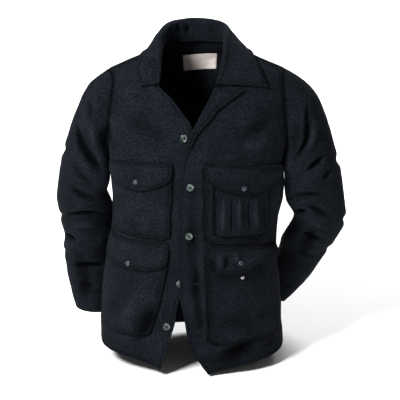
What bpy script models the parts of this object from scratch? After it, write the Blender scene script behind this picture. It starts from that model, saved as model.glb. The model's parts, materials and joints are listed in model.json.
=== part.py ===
"""Wool mackinaw jacket, worn open at the neck, as the hollow garment that a wearer fills.

Frame: metres, +Z up, the front faces -Y and the garment's own left is +X. The origin lies between
the shoulder tips, where the wearer's shoulders carry the jacket. Tables are in millimetres.
"""

import math
from collections import namedtuple

import bpy
import numpy as np
from mathutils import Matrix, Vector

MM = 0.001

# Cloth and seams
CLOTH = 2.5
SEAM = 0.6
FLAP_SEAM = 0.8
LAYER = 1.0
SLEEVE_CLEARANCE = 5.4
COLLAR_CLEARANCE = 6
COLLAR_CLOTH = 4.0
COLLAR_SEAM = 2.6
COLLAR_FOOT_RISE = 2.0
COLLAR_BULGE = 0.05
COLLAR_END = 0.1
TINY = 1e-6
LABEL_CLOTH = 0.8

# Body blocks: heights of the chest line, where the pocket flaps start, and of the neck
CHEST_FRONT = -206
ARMHOLE_TOP = -3
ARMHOLE_BOTTOM = -248
NECK_POINT = 55
BACK_NECK = 35
BACK_CHEST = -206
HEM_SIDE_LEFT = -739
HEM_SIDE_RIGHT = -724
HEM_BACK = -752
SHOULDER_SEAM_ANGLE = -6
HIDDEN_BUTTON = -522
HIDDEN_BUTTON_LIFT = 4.6
FRONT_POWER = 2.25
SIDE_POWER = 2.25
ARMHOLE_FRONT_SWEEP = 11
ARMHOLE_BACK_SWEEP = 21

# Grid counts
YOKE_ROWS = 9
SKIRT_ROWS = 17
PLACKET_COLUMNS = 3
POCKET_COLUMNS = 11
BACK_HALF_COLUMNS = 10
SLEEVE_RINGS = 20
FIRST_FREE_RING = 5

# Notions
BUTTON_RADIUS = 9.5
BUTTON_THICKNESS = 3.2
SNAP_RADIUS = 6.5
SNAP_THICKNESS = 2.4
SNAP_GAP = 1.0
OPEN_SNAP_GAP = 1.4

Section = namedtuple("Section", "height centre_x half_width front back side_y back_power")
TORSO = [
    Section(-790, -11, 231, -143, 141, 0, 2.25),
    Section(-700, -11, 227, -142, 141, 0, 2.25),
    Section(-620, -12, 222, -142, 140, 0, 2.25),
    Section(-540, -12, 216, -142, 138, 0, 2.25),
    Section(-460, -8, 208, -141, 137, 0, 2.25),
    Section(-400, -2, 205, -140, 138, 0, 2.25),
    Section(-300, 0, 206, -139, 139, 0, 2.25),
    Section(-250, 0, 212, -138, 139, 0, 2.25),
    Section(-220, 1, 221, -137, 139, 0, 2.25),
    Section(-180, 2, 230, -134, 139, 0, 2.2),
    Section(-130, 3, 236, -128, 137, 0, 2.1),
    Section(-90, 4, 236, -119, 132, 0, 2.0),
    Section(-50, 4, 234, -102, 124, 0, 1.75),
    Section(-25, 4, 231, -87, 117, 0, 1.5),
    Section(-10, 3, 226, -78, 112, 0, 1.2),
    Section(0, 2, 215, -71, 108, 0, 0.95),
    Section(8, 1, 198, -66, 104, 0, 0.8),
    Section(20, 0, 168, -58, 98, 0, 0.72),
    Section(40, 0, 114, -46, 88, 2, 0.8),
    Section(56, 0, 82, -36, 78, 4, 1.0),
]

# Front edge and pocket line of each front, as x at a height, from hem to chest
Edge = namedtuple("Edge", "height edge_x pocket_x")
LEFT_FRONT = [
    Edge(-772, 31, 64),
    Edge(-736, 6, 46),
    Edge(-682, -18, 33),
    Edge(-628, -28, 30),
    Edge(-555, -38, 28),
    Edge(-434, -43, 23),
    Edge(-366, -42, 21),
    Edge(-273, -40, 20),
    Edge(-206, -33, 20),
]
RIGHT_FRONT = [
    Edge(-756, -88, -138),
    Edge(-670, -62, -117),
    Edge(-636, -52, -108),
    Edge(-580, -46, -93),
    Edge(-522, -20, -79),
    Edge(-480, -8, -71),
    Edge(-400, 6, -64),
    Edge(-300, 10, -60),
    Edge(-206, 8, -57),
]

# Opening edge of each front above the chest line, one row for each grid row, chest to neck point
Opening = namedtuple("Opening", "x height")
LEFT_OPENING = [
    Opening(-33, -206),
    Opening(-18, -163),
    Opening(-5, -127),
    Opening(9, -99),
    Opening(25, -70),
    Opening(40, -45),
    Opening(55, -20),
    Opening(66, 4),
    Opening(76, 30),
    Opening(84, NECK_POINT),
]
RIGHT_OPENING = [
    Opening(8, -206),
    Opening(5, -165),
    Opening(-5, -124),
    Opening(-21, -96),
    Opening(-40, -71),
    Opening(-64, -46),
    Opening(-95, -22),
    Opening(-97, 6),
    Opening(-92, 32),
    Opening(-82, NECK_POINT),
]

# How far each front hangs lower at its side than at its edge, at a height of the edge
Droop = namedtuple("Droop", "height left right")
DROOP = [
    Droop(-772, -33, -34),
    Droop(-756, -24, -32),
    Droop(-735, -8, -18),
    Droop(-700, 10, 4),
    Droop(-560, 24, 16),
    Droop(-434, 36, 26),
    Droop(-400, 34, 28),
    Droop(-206, 42, 42),
]

# Broad folds of the body: a trough or ridge from one point to another, given as angle and height
Fold = namedtuple("Fold", "angle_a height_a angle_b height_b width depth")
BODY_FOLDS = [
    Fold(-62, -60, -30, -210, 34, -5),
    Fold(-45, -85, -22, -200, 30, 4),
    Fold(-125, -70, -160, -190, 40, -4),
    Fold(-128, -700, -108, -600, 32, -9),
    Fold(-118, -745, -92, -660, 28, 6),
    Fold(-60, -745, -20, -690, 30, -6),
    Fold(-160, -432, -110, -438, 40, -3),
    Fold(35, -760, 60, -560, 42, -9),
    Fold(80, -770, 88, -540, 46, 8),
    Fold(118, -760, 112, -590, 40, -8),
    Fold(150, -740, 138, -560, 38, 7),
    Fold(60, -120, 20, -260, 34, -6),
    Fold(120, -120, 160, -260, 34, -6),
    Fold(75, -330, 140, -400, 44, -5),
]

# Sleeve sections: the point on the outer side, the point on the inner side and the half depth
Ring = namedtuple("Ring", "outer inner half_depth")
LEFT_SLEEVE = [
    Ring((275, 0, -38), (220, 6, -258), 74),
    Ring((314, 2, -105), (214, 8, -276), 72),
    Ring((342, 5, -194), (213, 10, -306), 69),
    Ring((364, 8, -300), (217, 14, -342), 64),
    Ring((376, 15, -378), (246, 22, -398), 60),
    Ring((375, 28, -428), (235, 46, -438), 58),
    Ring((348, 52, -490), (218, 78, -478), 56),
    Ring((298, 92, -586), (208, 118, -538), 50),
    Ring((267, 118, -640), (184, 146, -588), 47),
    Ring((228, 146, -692), (158, 170, -632), 45),
]
RIGHT_SLEEVE = [
    Ring((-255, 0, -32), (-216, 6, -256), 74),
    Ring((-287, 2, -88), (-217, 8, -276), 72),
    Ring((-314, 4, -168), (-217, 10, -304), 69),
    Ring((-337, 8, -258), (-221, 14, -332), 65),
    Ring((-348, 14, -345), (-214, 26, -352), 60),
    Ring((-345, 24, -398), (-205, 66, -402), 58),
    Ring((-336, 36, -440), (-204, 92, -446), 56),
    Ring((-327, 46, -482), (-205, 100, -482), 54),
    Ring((-334, 52, -510), (-208, 106, -518), 53),
    Ring((-324, 66, -576), (-212, 111, -590), 50),
    Ring((-317, 74, -630), (-214, 114, -640), 47),
    Ring((-305, 80, -683), (-210, 116, -688), 45),
]

# Sleeve folds: ring share along the arm, angle round it (0 outer, 90 front), reach and depth
Crease = namedtuple("Crease", "share angle share_width angle_width depth")
LEFT_CREASES = [
    Crease(0.16, 60, 0.030, 46, -7),
    Crease(0.26, 95, 0.022, 40, -8),
    Crease(0.38, 120, 0.022, 55, -9),
    Crease(0.47, 150, 0.022, 60, -9),
    Crease(0.55, 110, 0.024, 44, -6),
    Crease(0.66, 240, 0.030, 50, -6),
    Crease(0.44, 265, 0.026, 50, -6),
]
RIGHT_CREASES = [
    Crease(0.14, 70, 0.034, 42, -7),
    Crease(0.33, 120, 0.024, 55, -8),
    Crease(0.50, 100, 0.022, 70, -9),
    Crease(0.61, 40, 0.020, 60, -6),
    Crease(0.74, 95, 0.022, 80, -7),
    Crease(0.48, 265, 0.026, 50, -6),
    Crease(0.66, 245, 0.026, 50, -6),
]

# Collar: share of the neckline from the right front to the left, top of the roll, roll radius, edge
Collar = namedtuple("Collar", "share roll_x roll_y roll_z roll_radius edge_x edge_y edge_z")
COLLAR = [
    Collar(0.00, -95, -86, -13, 4.0, -136, -84, -19),
    Collar(0.12, -90, -50, 36, 5.0, -147, -52, 9),
    Collar(0.24, -90, -6, 70, 7.5, -140, -36, 26),
    Collar(0.34, -84, 30, 86, 9.0, -124, 18, 28),
    Collar(0.42, -58, 72, 92, 9.0, -84, 98, 36),
    Collar(0.52, 0, 92, 95, 9.0, 0, 118, 32),
    Collar(0.62, 60, 70, 92, 9.0, 84, 98, 36),
    Collar(0.70, 78, 28, 86, 9.0, 119, 36, 36),
    Collar(0.78, 76, -12, 72, 8.0, 134, 0, 33),
    Collar(0.90, 69, -58, 30, 6.0, 152, -46, 24),
    Collar(1.00, 53, -88, -12, 4.0, 177, -76, -26),
]
STAND_POINTS = 3
FALL_POINTS = 4

# Lapel, the facing turned out over the left front: grid row, width, length of the hidden strip
Lapel = namedtuple("Lapel", "row width inside end_row")
LAPEL = [
    Lapel(1.0, 4, 0.0, 1.0),
    Lapel(2.0, 10, 0.0, 2.0),
    Lapel(3.0, 18, 0.6, 3.0),
    Lapel(4.0, 25, 1.0, 4.0),
    Lapel(5.0, 38, 1.0, 5.05),
    Lapel(5.45, 50, 1.0, 5.85),
    Lapel(5.75, 55, 1.0, 6.30),
]
LAPEL_STEPS = 10
LAPEL_ROLL = 4.9
LAPEL_STRIP = 14

# Pockets and flaps: first and last grid column, heights at the front edge of the panel, and how
# much higher the outer end of the top and of the bottom is
Patch = namedtuple("Patch", "first last top bottom top_rise bottom_rise")
CHEST_POCKET_LEFT = Patch(0, 9.3, -214, -410, 8, 0)
CHEST_POCKET_RIGHT = Patch(0, 9.4, -214, -406, 40, 20)
LOWER_POCKET_LEFT = Patch(0, 9.3, -442, -684, 0, 0)
LOWER_POCKET_RIGHT = Patch(0, 9.9, -442, -672, 15, 8)
PENCIL_POCKET = Patch(1.2, 7.6, -222, -390, 0, 0)
PENCIL_TUBES = (0.13, 0.38, 0.63, 0.88)
TUBE_RISE = 3.2
ROW_GAP = 8

# Flap: its depth at a share of its width from the front edge outwards, and the standoff of its edge
FlapEdge = namedtuple("FlapEdge", "share chest chest_off lower lower_off open open_off")
FLAP_EDGE = [
    FlapEdge(0.00, 36, 1, 46, 1, 50, 4),
    FlapEdge(0.06, 52, 1, 60, 1, 60, 7),
    FlapEdge(0.14, 62, 2, 68, 2, 69, 12),
    FlapEdge(0.26, 71, 2, 73, 2, 73, 4),
    FlapEdge(0.40, 77, 2, 75, 2, 66, 10),
    FlapEdge(0.50, 80, 2, 75, 2, 58, 14),
    FlapEdge(0.60, 77, 2, 74, 2, 42, 19),
    FlapEdge(0.74, 71, 2, 72, 2, 26, 24),
    FlapEdge(0.86, 62, 2, 67, 2, 27, 20),
    FlapEdge(0.94, 52, 1, 58, 1, 29, 15),
    FlapEdge(1.00, 36, 1, 42, 1, 30, 10),
]
FLAP_DROPS = (0.0, 0.17, 0.5, 1.0)
FLAP_LEVELLING = 0.7
FLAP_END_SHARES = (0.05, 0.95)
FLAP_COLUMN_GAP = 0.025

Notion = namedtuple("Notion", "x height gap")
BUTTONS_RIGHT_FRONT = {
    "button_1": Notion(-29, -141, 0.9),
    "button_4": Notion(-40, -522, 1.3),
    "button_5": Notion(-73, -643, 1.4),
}
BUTTONS_LEFT_FRONT = {
    "button_2": Notion(-14, -266, 0.8),
    "button_3": Notion(-17, -397, 0.8),
}

POCKET_STUD = Notion(114, -514, 0.5)

# Neck label: corners on the inside of the back
Corner = namedtuple("Corner", "x height")
LABEL = [
    (Corner(-34, -12), Corner(51, -6)),
    (Corner(-30, -57), Corner(51, -50)),
]
LABEL_ROWS = 3
LABEL_COLUMNS = 5


def smooth(table, key, column, at):
    """Monotone cubic through a table's rows, so that a column never overshoots between two rows."""
    x = np.array([getattr(row, key) for row in table], float)
    y = np.array([getattr(row, column) for row in table], float)
    step = np.diff(x)
    slope = np.diff(y) / step
    rate = np.zeros(len(x))
    rate[0], rate[-1] = slope[0], slope[-1]
    for i in range(1, len(x) - 1):
        if slope[i - 1] * slope[i] > 0:
            near, far = 2 * step[i] + step[i - 1], step[i] + 2 * step[i - 1]
            rate[i] = (near + far) / (near / slope[i - 1] + far / slope[i])
    at = min(max(at, x[0]), x[-1])
    k = min(int(np.searchsorted(x, at, side="right")) - 1, len(step) - 1)
    h = step[k]
    u = (at - x[k]) / h
    return (
        (1 + 2 * u) * (1 - u) ** 2 * y[k]
        + u * (1 - u) ** 2 * h * rate[k]
        + u * u * (3 - 2 * u) * y[k + 1]
        + u * u * (u - 1) * h * rate[k + 1]
    )


def ease(value):
    value = min(max(value, 0.0), 1.0)
    return value * value * (3 - 2 * value)


def torso_section(height):
    return Section(height, *(smooth(TORSO, "height", c, height) for c in Section._fields[1:]))


def plain_torso(angle, height):
    """Point of the body's inner surface: angle 0 is the left side, -90 the front, 90 the back."""
    ring = torso_section(height)
    turn = math.radians(angle)
    across, along = abs(math.cos(turn)) / ring.half_width, abs(math.sin(turn))
    forward = math.sin(turn) < 0
    along /= ring.side_y - ring.front if forward else ring.back - ring.side_y
    power = FRONT_POWER if forward else ring.back_power
    near, far = 0.0, 4.0 * ring.half_width
    for _ in range(40):
        radius = (near + far) / 2
        if (radius * across) ** SIDE_POWER + (radius * along) ** power < 1:
            near = radius
        else:
            far = radius
    return np.array(
        [ring.centre_x + radius * math.cos(turn), ring.side_y + radius * math.sin(turn), height]
    )


def angle_at(x, height):
    """Angle of the point of the front at this x and height."""
    ring = torso_section(height)
    across = (x - ring.centre_x) / ring.half_width
    along = (1 - min(abs(across), 1.0) ** SIDE_POWER) ** (1 / FRONT_POWER)
    return math.degrees(
        math.atan2(-along * (ring.side_y - ring.front), x - ring.centre_x)
    )


def fold_depth(angle, height):
    """Sum of the broad folds at a point, measured on the surface."""
    total = 0.0
    radius = 3.0
    for fold in BODY_FOLDS:
        start = np.array([fold.angle_a * radius, fold.height_a])
        line = np.array([fold.angle_b * radius, fold.height_b]) - start
        point = np.array([angle * radius, height]) - start
        share = point @ line / (line @ line)
        across = np.linalg.norm(point - min(max(share, 0.0), 1.0) * line)
        if across < 3 * fold.width:
            total += fold.depth * math.exp(-((across / fold.width) ** 2))
    return total


def overlap_lift(x, height):
    """The left front lies over the right one along its edge."""
    button = HIDDEN_BUTTON_LIFT * math.exp(-(((height - HIDDEN_BUTTON) / 42) ** 2))
    return (CLOTH + 1.1 + button) * ease((62 - x) / 42) * ease((height + 795) / 40)


def torso(angle, height, over=False):
    """Point of the body's inner surface with its folds, lifted where one front lies on the other."""
    point = plain_torso(angle, height)
    beside = plain_torso(angle + 1, height)
    above = plain_torso(angle, min(height + 4, NECK_POINT))
    below = plain_torso(angle, min(height + 4, NECK_POINT) - 8)
    normal = np.cross(beside - point, above - below)
    normal /= np.linalg.norm(normal)
    lift = fold_depth(angle, height)
    if over:
        lift += overlap_lift(point[0], height)
    return point + normal * lift


def body_depth(point):
    """How far a point lies outside the plain body, in the body's own cross-section."""
    ring = torso_section(point[2])
    across, along = point[0] - ring.centre_x, point[1] - ring.side_y
    angle = math.degrees(math.atan2(along, across))
    return math.hypot(across, along) - np.linalg.norm(
        plain_torso(angle, point[2])[:2] - np.array([ring.centre_x, ring.side_y])
    )


def clear_of_body(point, clearance):
    """Moves a point out of the body until this clearance from its inner surface is left."""
    for _ in range(4):
        if not TORSO[0].height < point[2] < NECK_POINT:
            return point
        here = body_depth(point)
        slope = np.array([body_depth(point + step) - here for step in np.eye(3)])
        steep = np.linalg.norm(slope)
        ring = torso_section(point[2])
        angle = math.degrees(math.atan2(point[1] - ring.side_y, point[0] - ring.centre_x))
        if angle > 90 or angle < -186:
            angle = angle % 360
        elif angle < -180:
            angle += 360
        away = here / steep - fold_depth(angle, point[2])
        if point[1] < 0:
            away -= overlap_lift(point[0], point[2])
        if away >= clearance:
            return point
        point = point + slope / steep * (clearance - away)
    return point


def armhole(turn, left):
    """Angle and height of the armhole: turn 0 is its top, 90 its front, 180 its bottom."""
    up = math.cos(math.radians(turn))
    front = math.sin(math.radians(turn))
    height = (ARMHOLE_TOP + ARMHOLE_BOTTOM) / 2 + up * (ARMHOLE_TOP - ARMHOLE_BOTTOM) / 2
    angle = SHOULDER_SEAM_ANGLE * (1 + up) / 2
    angle -= front * (ARMHOLE_FRONT_SWEEP if front > 0 else ARMHOLE_BACK_SWEEP)
    return (angle if left else -180 - angle), height


def side_gap(height):
    """Half a seam, as an angle at the side of the body."""
    return math.degrees(SEAM / 2 / torso_section(height).half_width)


def blend_patch(bottom, top, start, end):
    """Coons patch of angle and height between four boundary lists, columns by rows."""
    columns, rows = len(bottom), len(start)
    reach = bottom[-1][0] - bottom[0][0]
    shares = [(p[0] - bottom[0][0]) / reach for p in bottom]
    grid = []
    for i in range(rows):
        t = i / (rows - 1)
        line = []
        for j in range(columns):
            s = shares[j]
            corner = (
                (1 - t) * ((1 - s) * bottom[0] + s * bottom[-1])
                + t * ((1 - s) * top[0] + s * top[-1])
            )
            edges = (1 - t) * bottom[j] + t * top[j] + (1 - s) * start[i] + s * end[i]
            line.append(edges - corner)
        grid.append(line)
    return grid


def front_grid(left):
    """Angles and heights of a front: rows from hem to shoulder, columns from its edge to its side."""
    table = LEFT_FRONT if left else RIGHT_FRONT
    side = 0.0 if left else -180.0
    sign = -1 if left else 1
    hem = table[0].height
    rows = []
    for i in range(SKIRT_ROWS + 1):
        edge_height = hem + (CHEST_FRONT - hem) * i / SKIRT_ROWS
        edge_angle = angle_at(smooth(table, "height", "edge_x", edge_height), edge_height)
        pocket_angle = angle_at(smooth(table, "height", "pocket_x", edge_height), edge_height)
        droop = smooth(DROOP, "height", "left" if left else "right", edge_height)
        line = []
        for j in range(PLACKET_COLUMNS + POCKET_COLUMNS + 1):
            if j <= PLACKET_COLUMNS:
                angle = edge_angle + (pocket_angle - edge_angle) * j / PLACKET_COLUMNS
            else:
                share = (j - PLACKET_COLUMNS) / POCKET_COLUMNS
                angle = pocket_angle + (side - pocket_angle) * share
            share = abs((angle - edge_angle) / (side - edge_angle))
            height = edge_height - droop * share ** (1.6 if droop > 0 else 0.7)
            if j == PLACKET_COLUMNS + POCKET_COLUMNS:
                angle += sign * side_gap(height)
            line.append(np.array([angle, height]))
        rows.append(line)
    opening = LEFT_OPENING if left else RIGHT_OPENING
    start = [np.array([angle_at(p.x, p.height), p.height]) for p in opening]
    end = [np.array(armhole(180 - 180 * i / YOKE_ROWS, left)) for i in range(YOKE_ROWS + 1)]
    seam = SHOULDER_SEAM_ANGLE if left else -180 - SHOULDER_SEAM_ANGLE
    gap = sign * 3 * side_gap(0)
    start[0] = rows[-1][0]
    start[-1] = np.array([seam + gap, NECK_POINT])
    end[0] = rows[-1][-1]
    end[-1] = np.array([seam + gap, ARMHOLE_TOP])
    shares = [(p[0] - start[0][0]) / (end[0][0] - start[0][0]) for p in rows[-1]]
    top = [start[-1] + (end[-1] - start[-1]) * s for s in shares]
    return rows + blend_patch(rows[-1], top, start, end)[1:]


def back_grid():
    """Angles and heights of the back: rows from hem to shoulder, columns from left side to right."""
    halves = []
    for left in (True, False):
        side = 0.0 if left else 180.0
        sign = 1 if left else -1
        hem = HEM_SIDE_LEFT if left else HEM_SIDE_RIGHT
        rows = []
        for i in range(SKIRT_ROWS + 1):
            line = []
            for j in range(BACK_HALF_COLUMNS + 1):
                share = j / BACK_HALF_COLUMNS
                low = hem + (HEM_BACK - hem) * ease(share)
                high = ARMHOLE_BOTTOM + (BACK_CHEST - ARMHOLE_BOTTOM) * ease(share)
                height = low + (high - low) * i / SKIRT_ROWS
                angle = side + sign * side_gap(height) * (1 - share) + (90 - side) * share
                line.append(np.array([angle, height]))
            rows.append(line)
        start = []
        for i in range(YOKE_ROWS + 1):
            angle, height = armhole(180 + 180 * i / YOKE_ROWS, left)
            start.append(np.array([angle % 360 if not left else angle, height]))
        low = rows[-1][-1][1]
        end = [np.array([90.0, low + (BACK_NECK - low) * i / YOKE_ROWS]) for i in range(YOKE_ROWS + 1)]
        seam = SHOULDER_SEAM_ANGLE if left else 180 - SHOULDER_SEAM_ANGLE
        start[0] = rows[-1][0]
        start[-1] = np.array([seam + sign * 3 * side_gap(0), ARMHOLE_TOP])
        top = []
        shoulder_columns = BACK_HALF_COLUMNS - 4
        for j in range(BACK_HALF_COLUMNS + 1):
            if j <= shoulder_columns:
                share = j / shoulder_columns
                height = ARMHOLE_TOP + (NECK_POINT - ARMHOLE_TOP) * share
                top.append(np.array([start[-1][0], height]))
            else:
                share = (j - shoulder_columns) / 4
                angle = start[-1][0] + (90 - start[-1][0]) * share
                drop = (NECK_POINT - BACK_NECK) * math.sin(math.radians(90 * share)) ** 1.4
                top.append(np.array([angle, NECK_POINT - drop]))
        halves.append(rows + blend_patch(rows[-1], top, start, end)[1:])
    return [a + b[::-1][1:] for a, b in zip(*halves)]


def surface(grid, over=False):
    return np.array([[torso(angle, height, over) for angle, height in line] for line in grid])


def grid_normals(points, closed=False, outward=None):
    """Unit normals of a grid of points, rows by columns; closed joins the last column to the first."""
    along = np.gradient(points, axis=0)
    if closed:
        across = (np.roll(points, -1, axis=1) - np.roll(points, 1, axis=1)) / 2
    else:
        across = np.gradient(points, axis=1)
    normals = np.cross(across, along)
    normals /= np.linalg.norm(normals, axis=2, keepdims=True)
    if outward is not None and np.sum(normals[0, 0] * outward) < 0:
        normals = -normals
    return normals


def add_object(name, mesh, material, collection):
    node = bpy.data.objects.new(name, mesh)
    node.data.materials.append(material)
    collection.objects.link(node)
    return node


def wall(name, inner, outer, material, collection, closed=False):
    """A cloth wall between two grids of points in millimetres, rows by columns."""
    rows, columns = inner.shape[:2]
    count = rows * columns
    points = np.concatenate([outer.reshape(-1, 3), inner.reshape(-1, 3)]) * MM
    faces = []

    def cell(i, j):
        return i * columns + j % columns

    for i in range(rows - 1):
        for j in range(columns if closed else columns - 1):
            a, b, c, d = cell(i, j), cell(i, j + 1), cell(i + 1, j + 1), cell(i + 1, j)
            if np.linalg.norm(points[a] - points[c]) > np.linalg.norm(points[b] - points[d]):
                a, b, c, d = b, c, d, a
            faces.append((a, b, c, d))
            faces.append((count + a, count + d, count + c, count + b))
    for j in range(columns if closed else columns - 1):
        a, b = cell(0, j), cell(0, j + 1)
        faces.append((a, count + a, count + b, b))
        a, b = cell(rows - 1, j), cell(rows - 1, j + 1)
        faces.append((b, count + b, count + a, a))
    if not closed:
        for i in range(rows - 1):
            a, b = cell(i, 0), cell(i + 1, 0)
            faces.append((b, count + b, count + a, a))
            a, b = cell(i, columns - 1), cell(i + 1, columns - 1)
            faces.append((a, count + a, count + b, b))
    mesh = bpy.data.meshes.new(name)
    mesh.from_pydata([tuple(p) for p in points], [], faces)
    mesh.validate()
    if signed_volume(mesh) < 0:
        mesh.flip_normals()
    mesh.shade_smooth()
    mesh.set_sharp_from_angle(angle=math.radians(50))
    return add_object(name, mesh, material, collection)


def signed_volume(mesh):
    mesh.calc_loop_triangles()
    total = 0.0
    for triangle in mesh.loop_triangles:
        a, b, c = (mesh.vertices[v].co for v in triangle.vertices)
        total += a.dot(b.cross(c))
    return total


def armhole_rim(front, back, front_normals, back_normals, left):
    """Points just outside the cloth round an armhole, and the direction into the hole at each."""
    side = 0 if left else -1
    points = [front[SKIRT_ROWS + k][-1] for k in range(YOKE_ROWS, -1, -1)]
    normals = [front_normals[SKIRT_ROWS + k][-1] for k in range(YOKE_ROWS, -1, -1)]
    for place, k in ((0, YOKE_ROWS), (-1, 0)):
        points[place] = (points[place] + back[SKIRT_ROWS + k][side]) / 2
        both = normals[place] + back_normals[SKIRT_ROWS + k][side]
        normals[place] = 2 * both / (both @ both)
    points += [back[SKIRT_ROWS + k][side] for k in range(1, YOKE_ROWS)]
    normals += [back_normals[SKIRT_ROWS + k][side] for k in range(1, YOKE_ROWS)]
    points, normals = np.array(points), np.array(normals)
    tangent = np.roll(points, -1, axis=0) - np.roll(points, 1, axis=0)
    into = np.cross(tangent, normals)
    into /= np.linalg.norm(into, axis=1, keepdims=True)
    centre = points.mean(axis=0)
    if np.sum(into * (centre - points)) < 0:
        into = -into
    return points + normals * (CLOTH + LAYER), into


def spline(knots, shares, at):
    """Catmull-Rom value at a share along a list of points with known shares."""
    k = min(max(int(np.searchsorted(shares, at, side="right")) - 1, 0), len(shares) - 2)
    u = (at - shares[k]) / (shares[k + 1] - shares[k])

    def rate(i):
        low, high = max(i - 1, 0), min(i + 1, len(shares) - 1)
        return (knots[high] - knots[low]) / (shares[high] - shares[low])

    h = shares[k + 1] - shares[k]
    return (
        (1 + 2 * u) * (1 - u) ** 2 * knots[k]
        + u * (1 - u) ** 2 * h * rate(k)
        + u * u * (3 - 2 * u) * knots[k + 1]
        + u * u * (u - 1) * h * rate(k + 1)
    )


def sleeve_grid(rim, table, creases):
    """Rings of a sleeve, from the armhole's rim to the cuff; columns go round it from its outer side."""
    turns = np.radians([20.0 * k for k in range(2 * YOKE_ROWS)])
    knots = [rim]
    for ring in table:
        outer, inner = np.array(ring.outer, float), np.array(ring.inner, float)
        centre, out = (outer + inner) / 2, (outer - inner) / 2
        front = np.array([0.0, -1.0, 0.0])
        front -= out * (front @ out) / (out @ out)
        front *= ring.half_depth / np.linalg.norm(front)
        knots.append(
            centre + np.outer(np.cos(turns), out) + np.outer(np.sin(turns), front)
        )
    knots = np.array(knots)
    middles = knots.mean(axis=1)
    steps = np.linalg.norm(np.diff(middles, axis=0), axis=1)
    shares = np.concatenate([[0], np.cumsum(steps)])
    shares /= shares[-1]
    rings = []
    for k in range(SLEEVE_RINGS + 1):
        share = k / SLEEVE_RINGS
        ring = spline(knots, shares, share)
        out = ring - ring.mean(axis=0)
        out /= np.linalg.norm(out, axis=1, keepdims=True)
        for crease in creases:
            along = math.exp(-(((share - crease.share) / crease.share_width) ** 2))
            off = (np.degrees(turns) - crease.angle + 180) % 360 - 180
            round_it = np.exp(-((off / crease.angle_width) ** 2))
            ring = ring + out * (crease.depth * along * round_it)[:, None]
        if k >= FIRST_FREE_RING:
            ring = np.array([clear_of_body(p, SLEEVE_CLEARANCE) for p in ring])
        rings.append(ring)
    rings[0] = rim
    return np.array(rings)


def add_sleeve(name, rim, into, table, creases, material, collection):
    rings = sleeve_grid(rim, table, creases)
    normals = grid_normals(rings, closed=True)
    out = rings[3] - rings[3].mean(axis=0)
    if np.sum(normals[3] * out) < 0:
        normals = -normals
    inner, outer = rings - normals * CLOTH / 2, rings + normals * CLOTH / 2
    inner[0], outer[0] = rim, rim - into * CLOTH
    return wall(name, inner, outer, material, collection, closed=True)


def grid_value(array, row, column):
    """Value inside a grid of points, in straight lines between its rows and columns."""
    i = min(int(row), array.shape[0] - 2)
    j = min(int(column), array.shape[1] - 2)
    u, v = row - i, column - j
    low = array[i, j] * (1 - v) + array[i, j + 1] * v
    high = array[i + 1, j] * (1 - v) + array[i + 1, j + 1] * v
    return low * (1 - u) + high * u


def find_on(points, x, height):
    """Row and column of the point of a grid with this x and z, found by stepping to it."""
    rows, columns = points.shape[:2]

    def miss(place):
        point = grid_value(points, *place)
        return (point[0] - x) ** 2 + (point[2] - height) ** 2

    options = [(i / 2, j / 2) for i in range(2 * rows - 1) for j in range(2 * columns - 1)]
    row, column = min(options, key=miss)
    for reach in (0.25, 0.1, 0.04, 0.015):
        options = [
            (min(max(row + a * reach, 0), rows - 1), min(max(column + b * reach, 0), columns - 1))
            for a in range(-3, 4)
            for b in range(-3, 4)
        ]
        row, column = min(options, key=miss)
    return row, column


class Panel:
    """A front of the body, with the points and normals that its pockets are made from."""

    def __init__(self, name, left, material, collection):
        self.left = left
        grid = front_grid(left)
        self.points = surface(grid, over=left)
        self.normals = grid_normals(self.points, outward=np.array([0, -1, 0]))
        self.edge_heights = self.points[:, 0, 2]
        self.node = wall(
            name, self.points, self.points + self.normals * CLOTH, material, collection
        )

    def row_at(self, height):
        """Grid row whose front edge has this height."""
        return float(np.interp(height, self.edge_heights, range(len(self.edge_heights))))

    def place(self, height, column, lift):
        row = self.row_at(height)
        normal = grid_value(self.normals, row, column)
        return grid_value(self.points, row, column) + normal / np.linalg.norm(normal) * lift

    def normal(self, row, column):
        normal = grid_value(self.normals, row, column)
        return normal / np.linalg.norm(normal)

    def find(self, x, height):
        return find_on(self.points, x, height)


def patch_columns(patch, shares=()):
    """Grid columns of a patch: its ends, the columns of the panel between them and those asked for."""
    first, last = PLACKET_COLUMNS + patch.first, PLACKET_COLUMNS + patch.last
    columns = {first, last} | {first + (last - first) * share for share in shares}
    for column in range(math.floor(first) + 1, math.ceil(last)):
        if min(abs(column - c) for c in (first, last)) > 0.2:
            columns.add(float(column))
    return sorted(columns)


def patch_grid(panel, patch, lift, shares):
    """Points of a flat pocket with rounded lower corners, on a panel."""
    columns = patch_columns(patch, shares)
    grid = []
    low, high = patch.bottom + patch.bottom_rise + ROW_GAP, patch.top - ROW_GAP
    inside = [h for h in panel.edge_heights if low < h < high]
    rises = {patch.bottom: patch.bottom_rise, patch.top: patch.top_rise}
    for height in (patch.bottom, *inside, patch.top):
        line = []
        for column in columns:
            share = (column - columns[0]) / (columns[-1] - columns[0])
            corner = 9 * (max(0.0, abs(2 * share - 1) - 0.88) / 0.12) ** 2
            lift_corner = corner if height == patch.bottom else 0
            rise = rises.get(height, 0) * share
            line.append(panel.place(height + lift_corner + rise, column, lift))
        grid.append(line)
    return np.array(grid)


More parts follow.
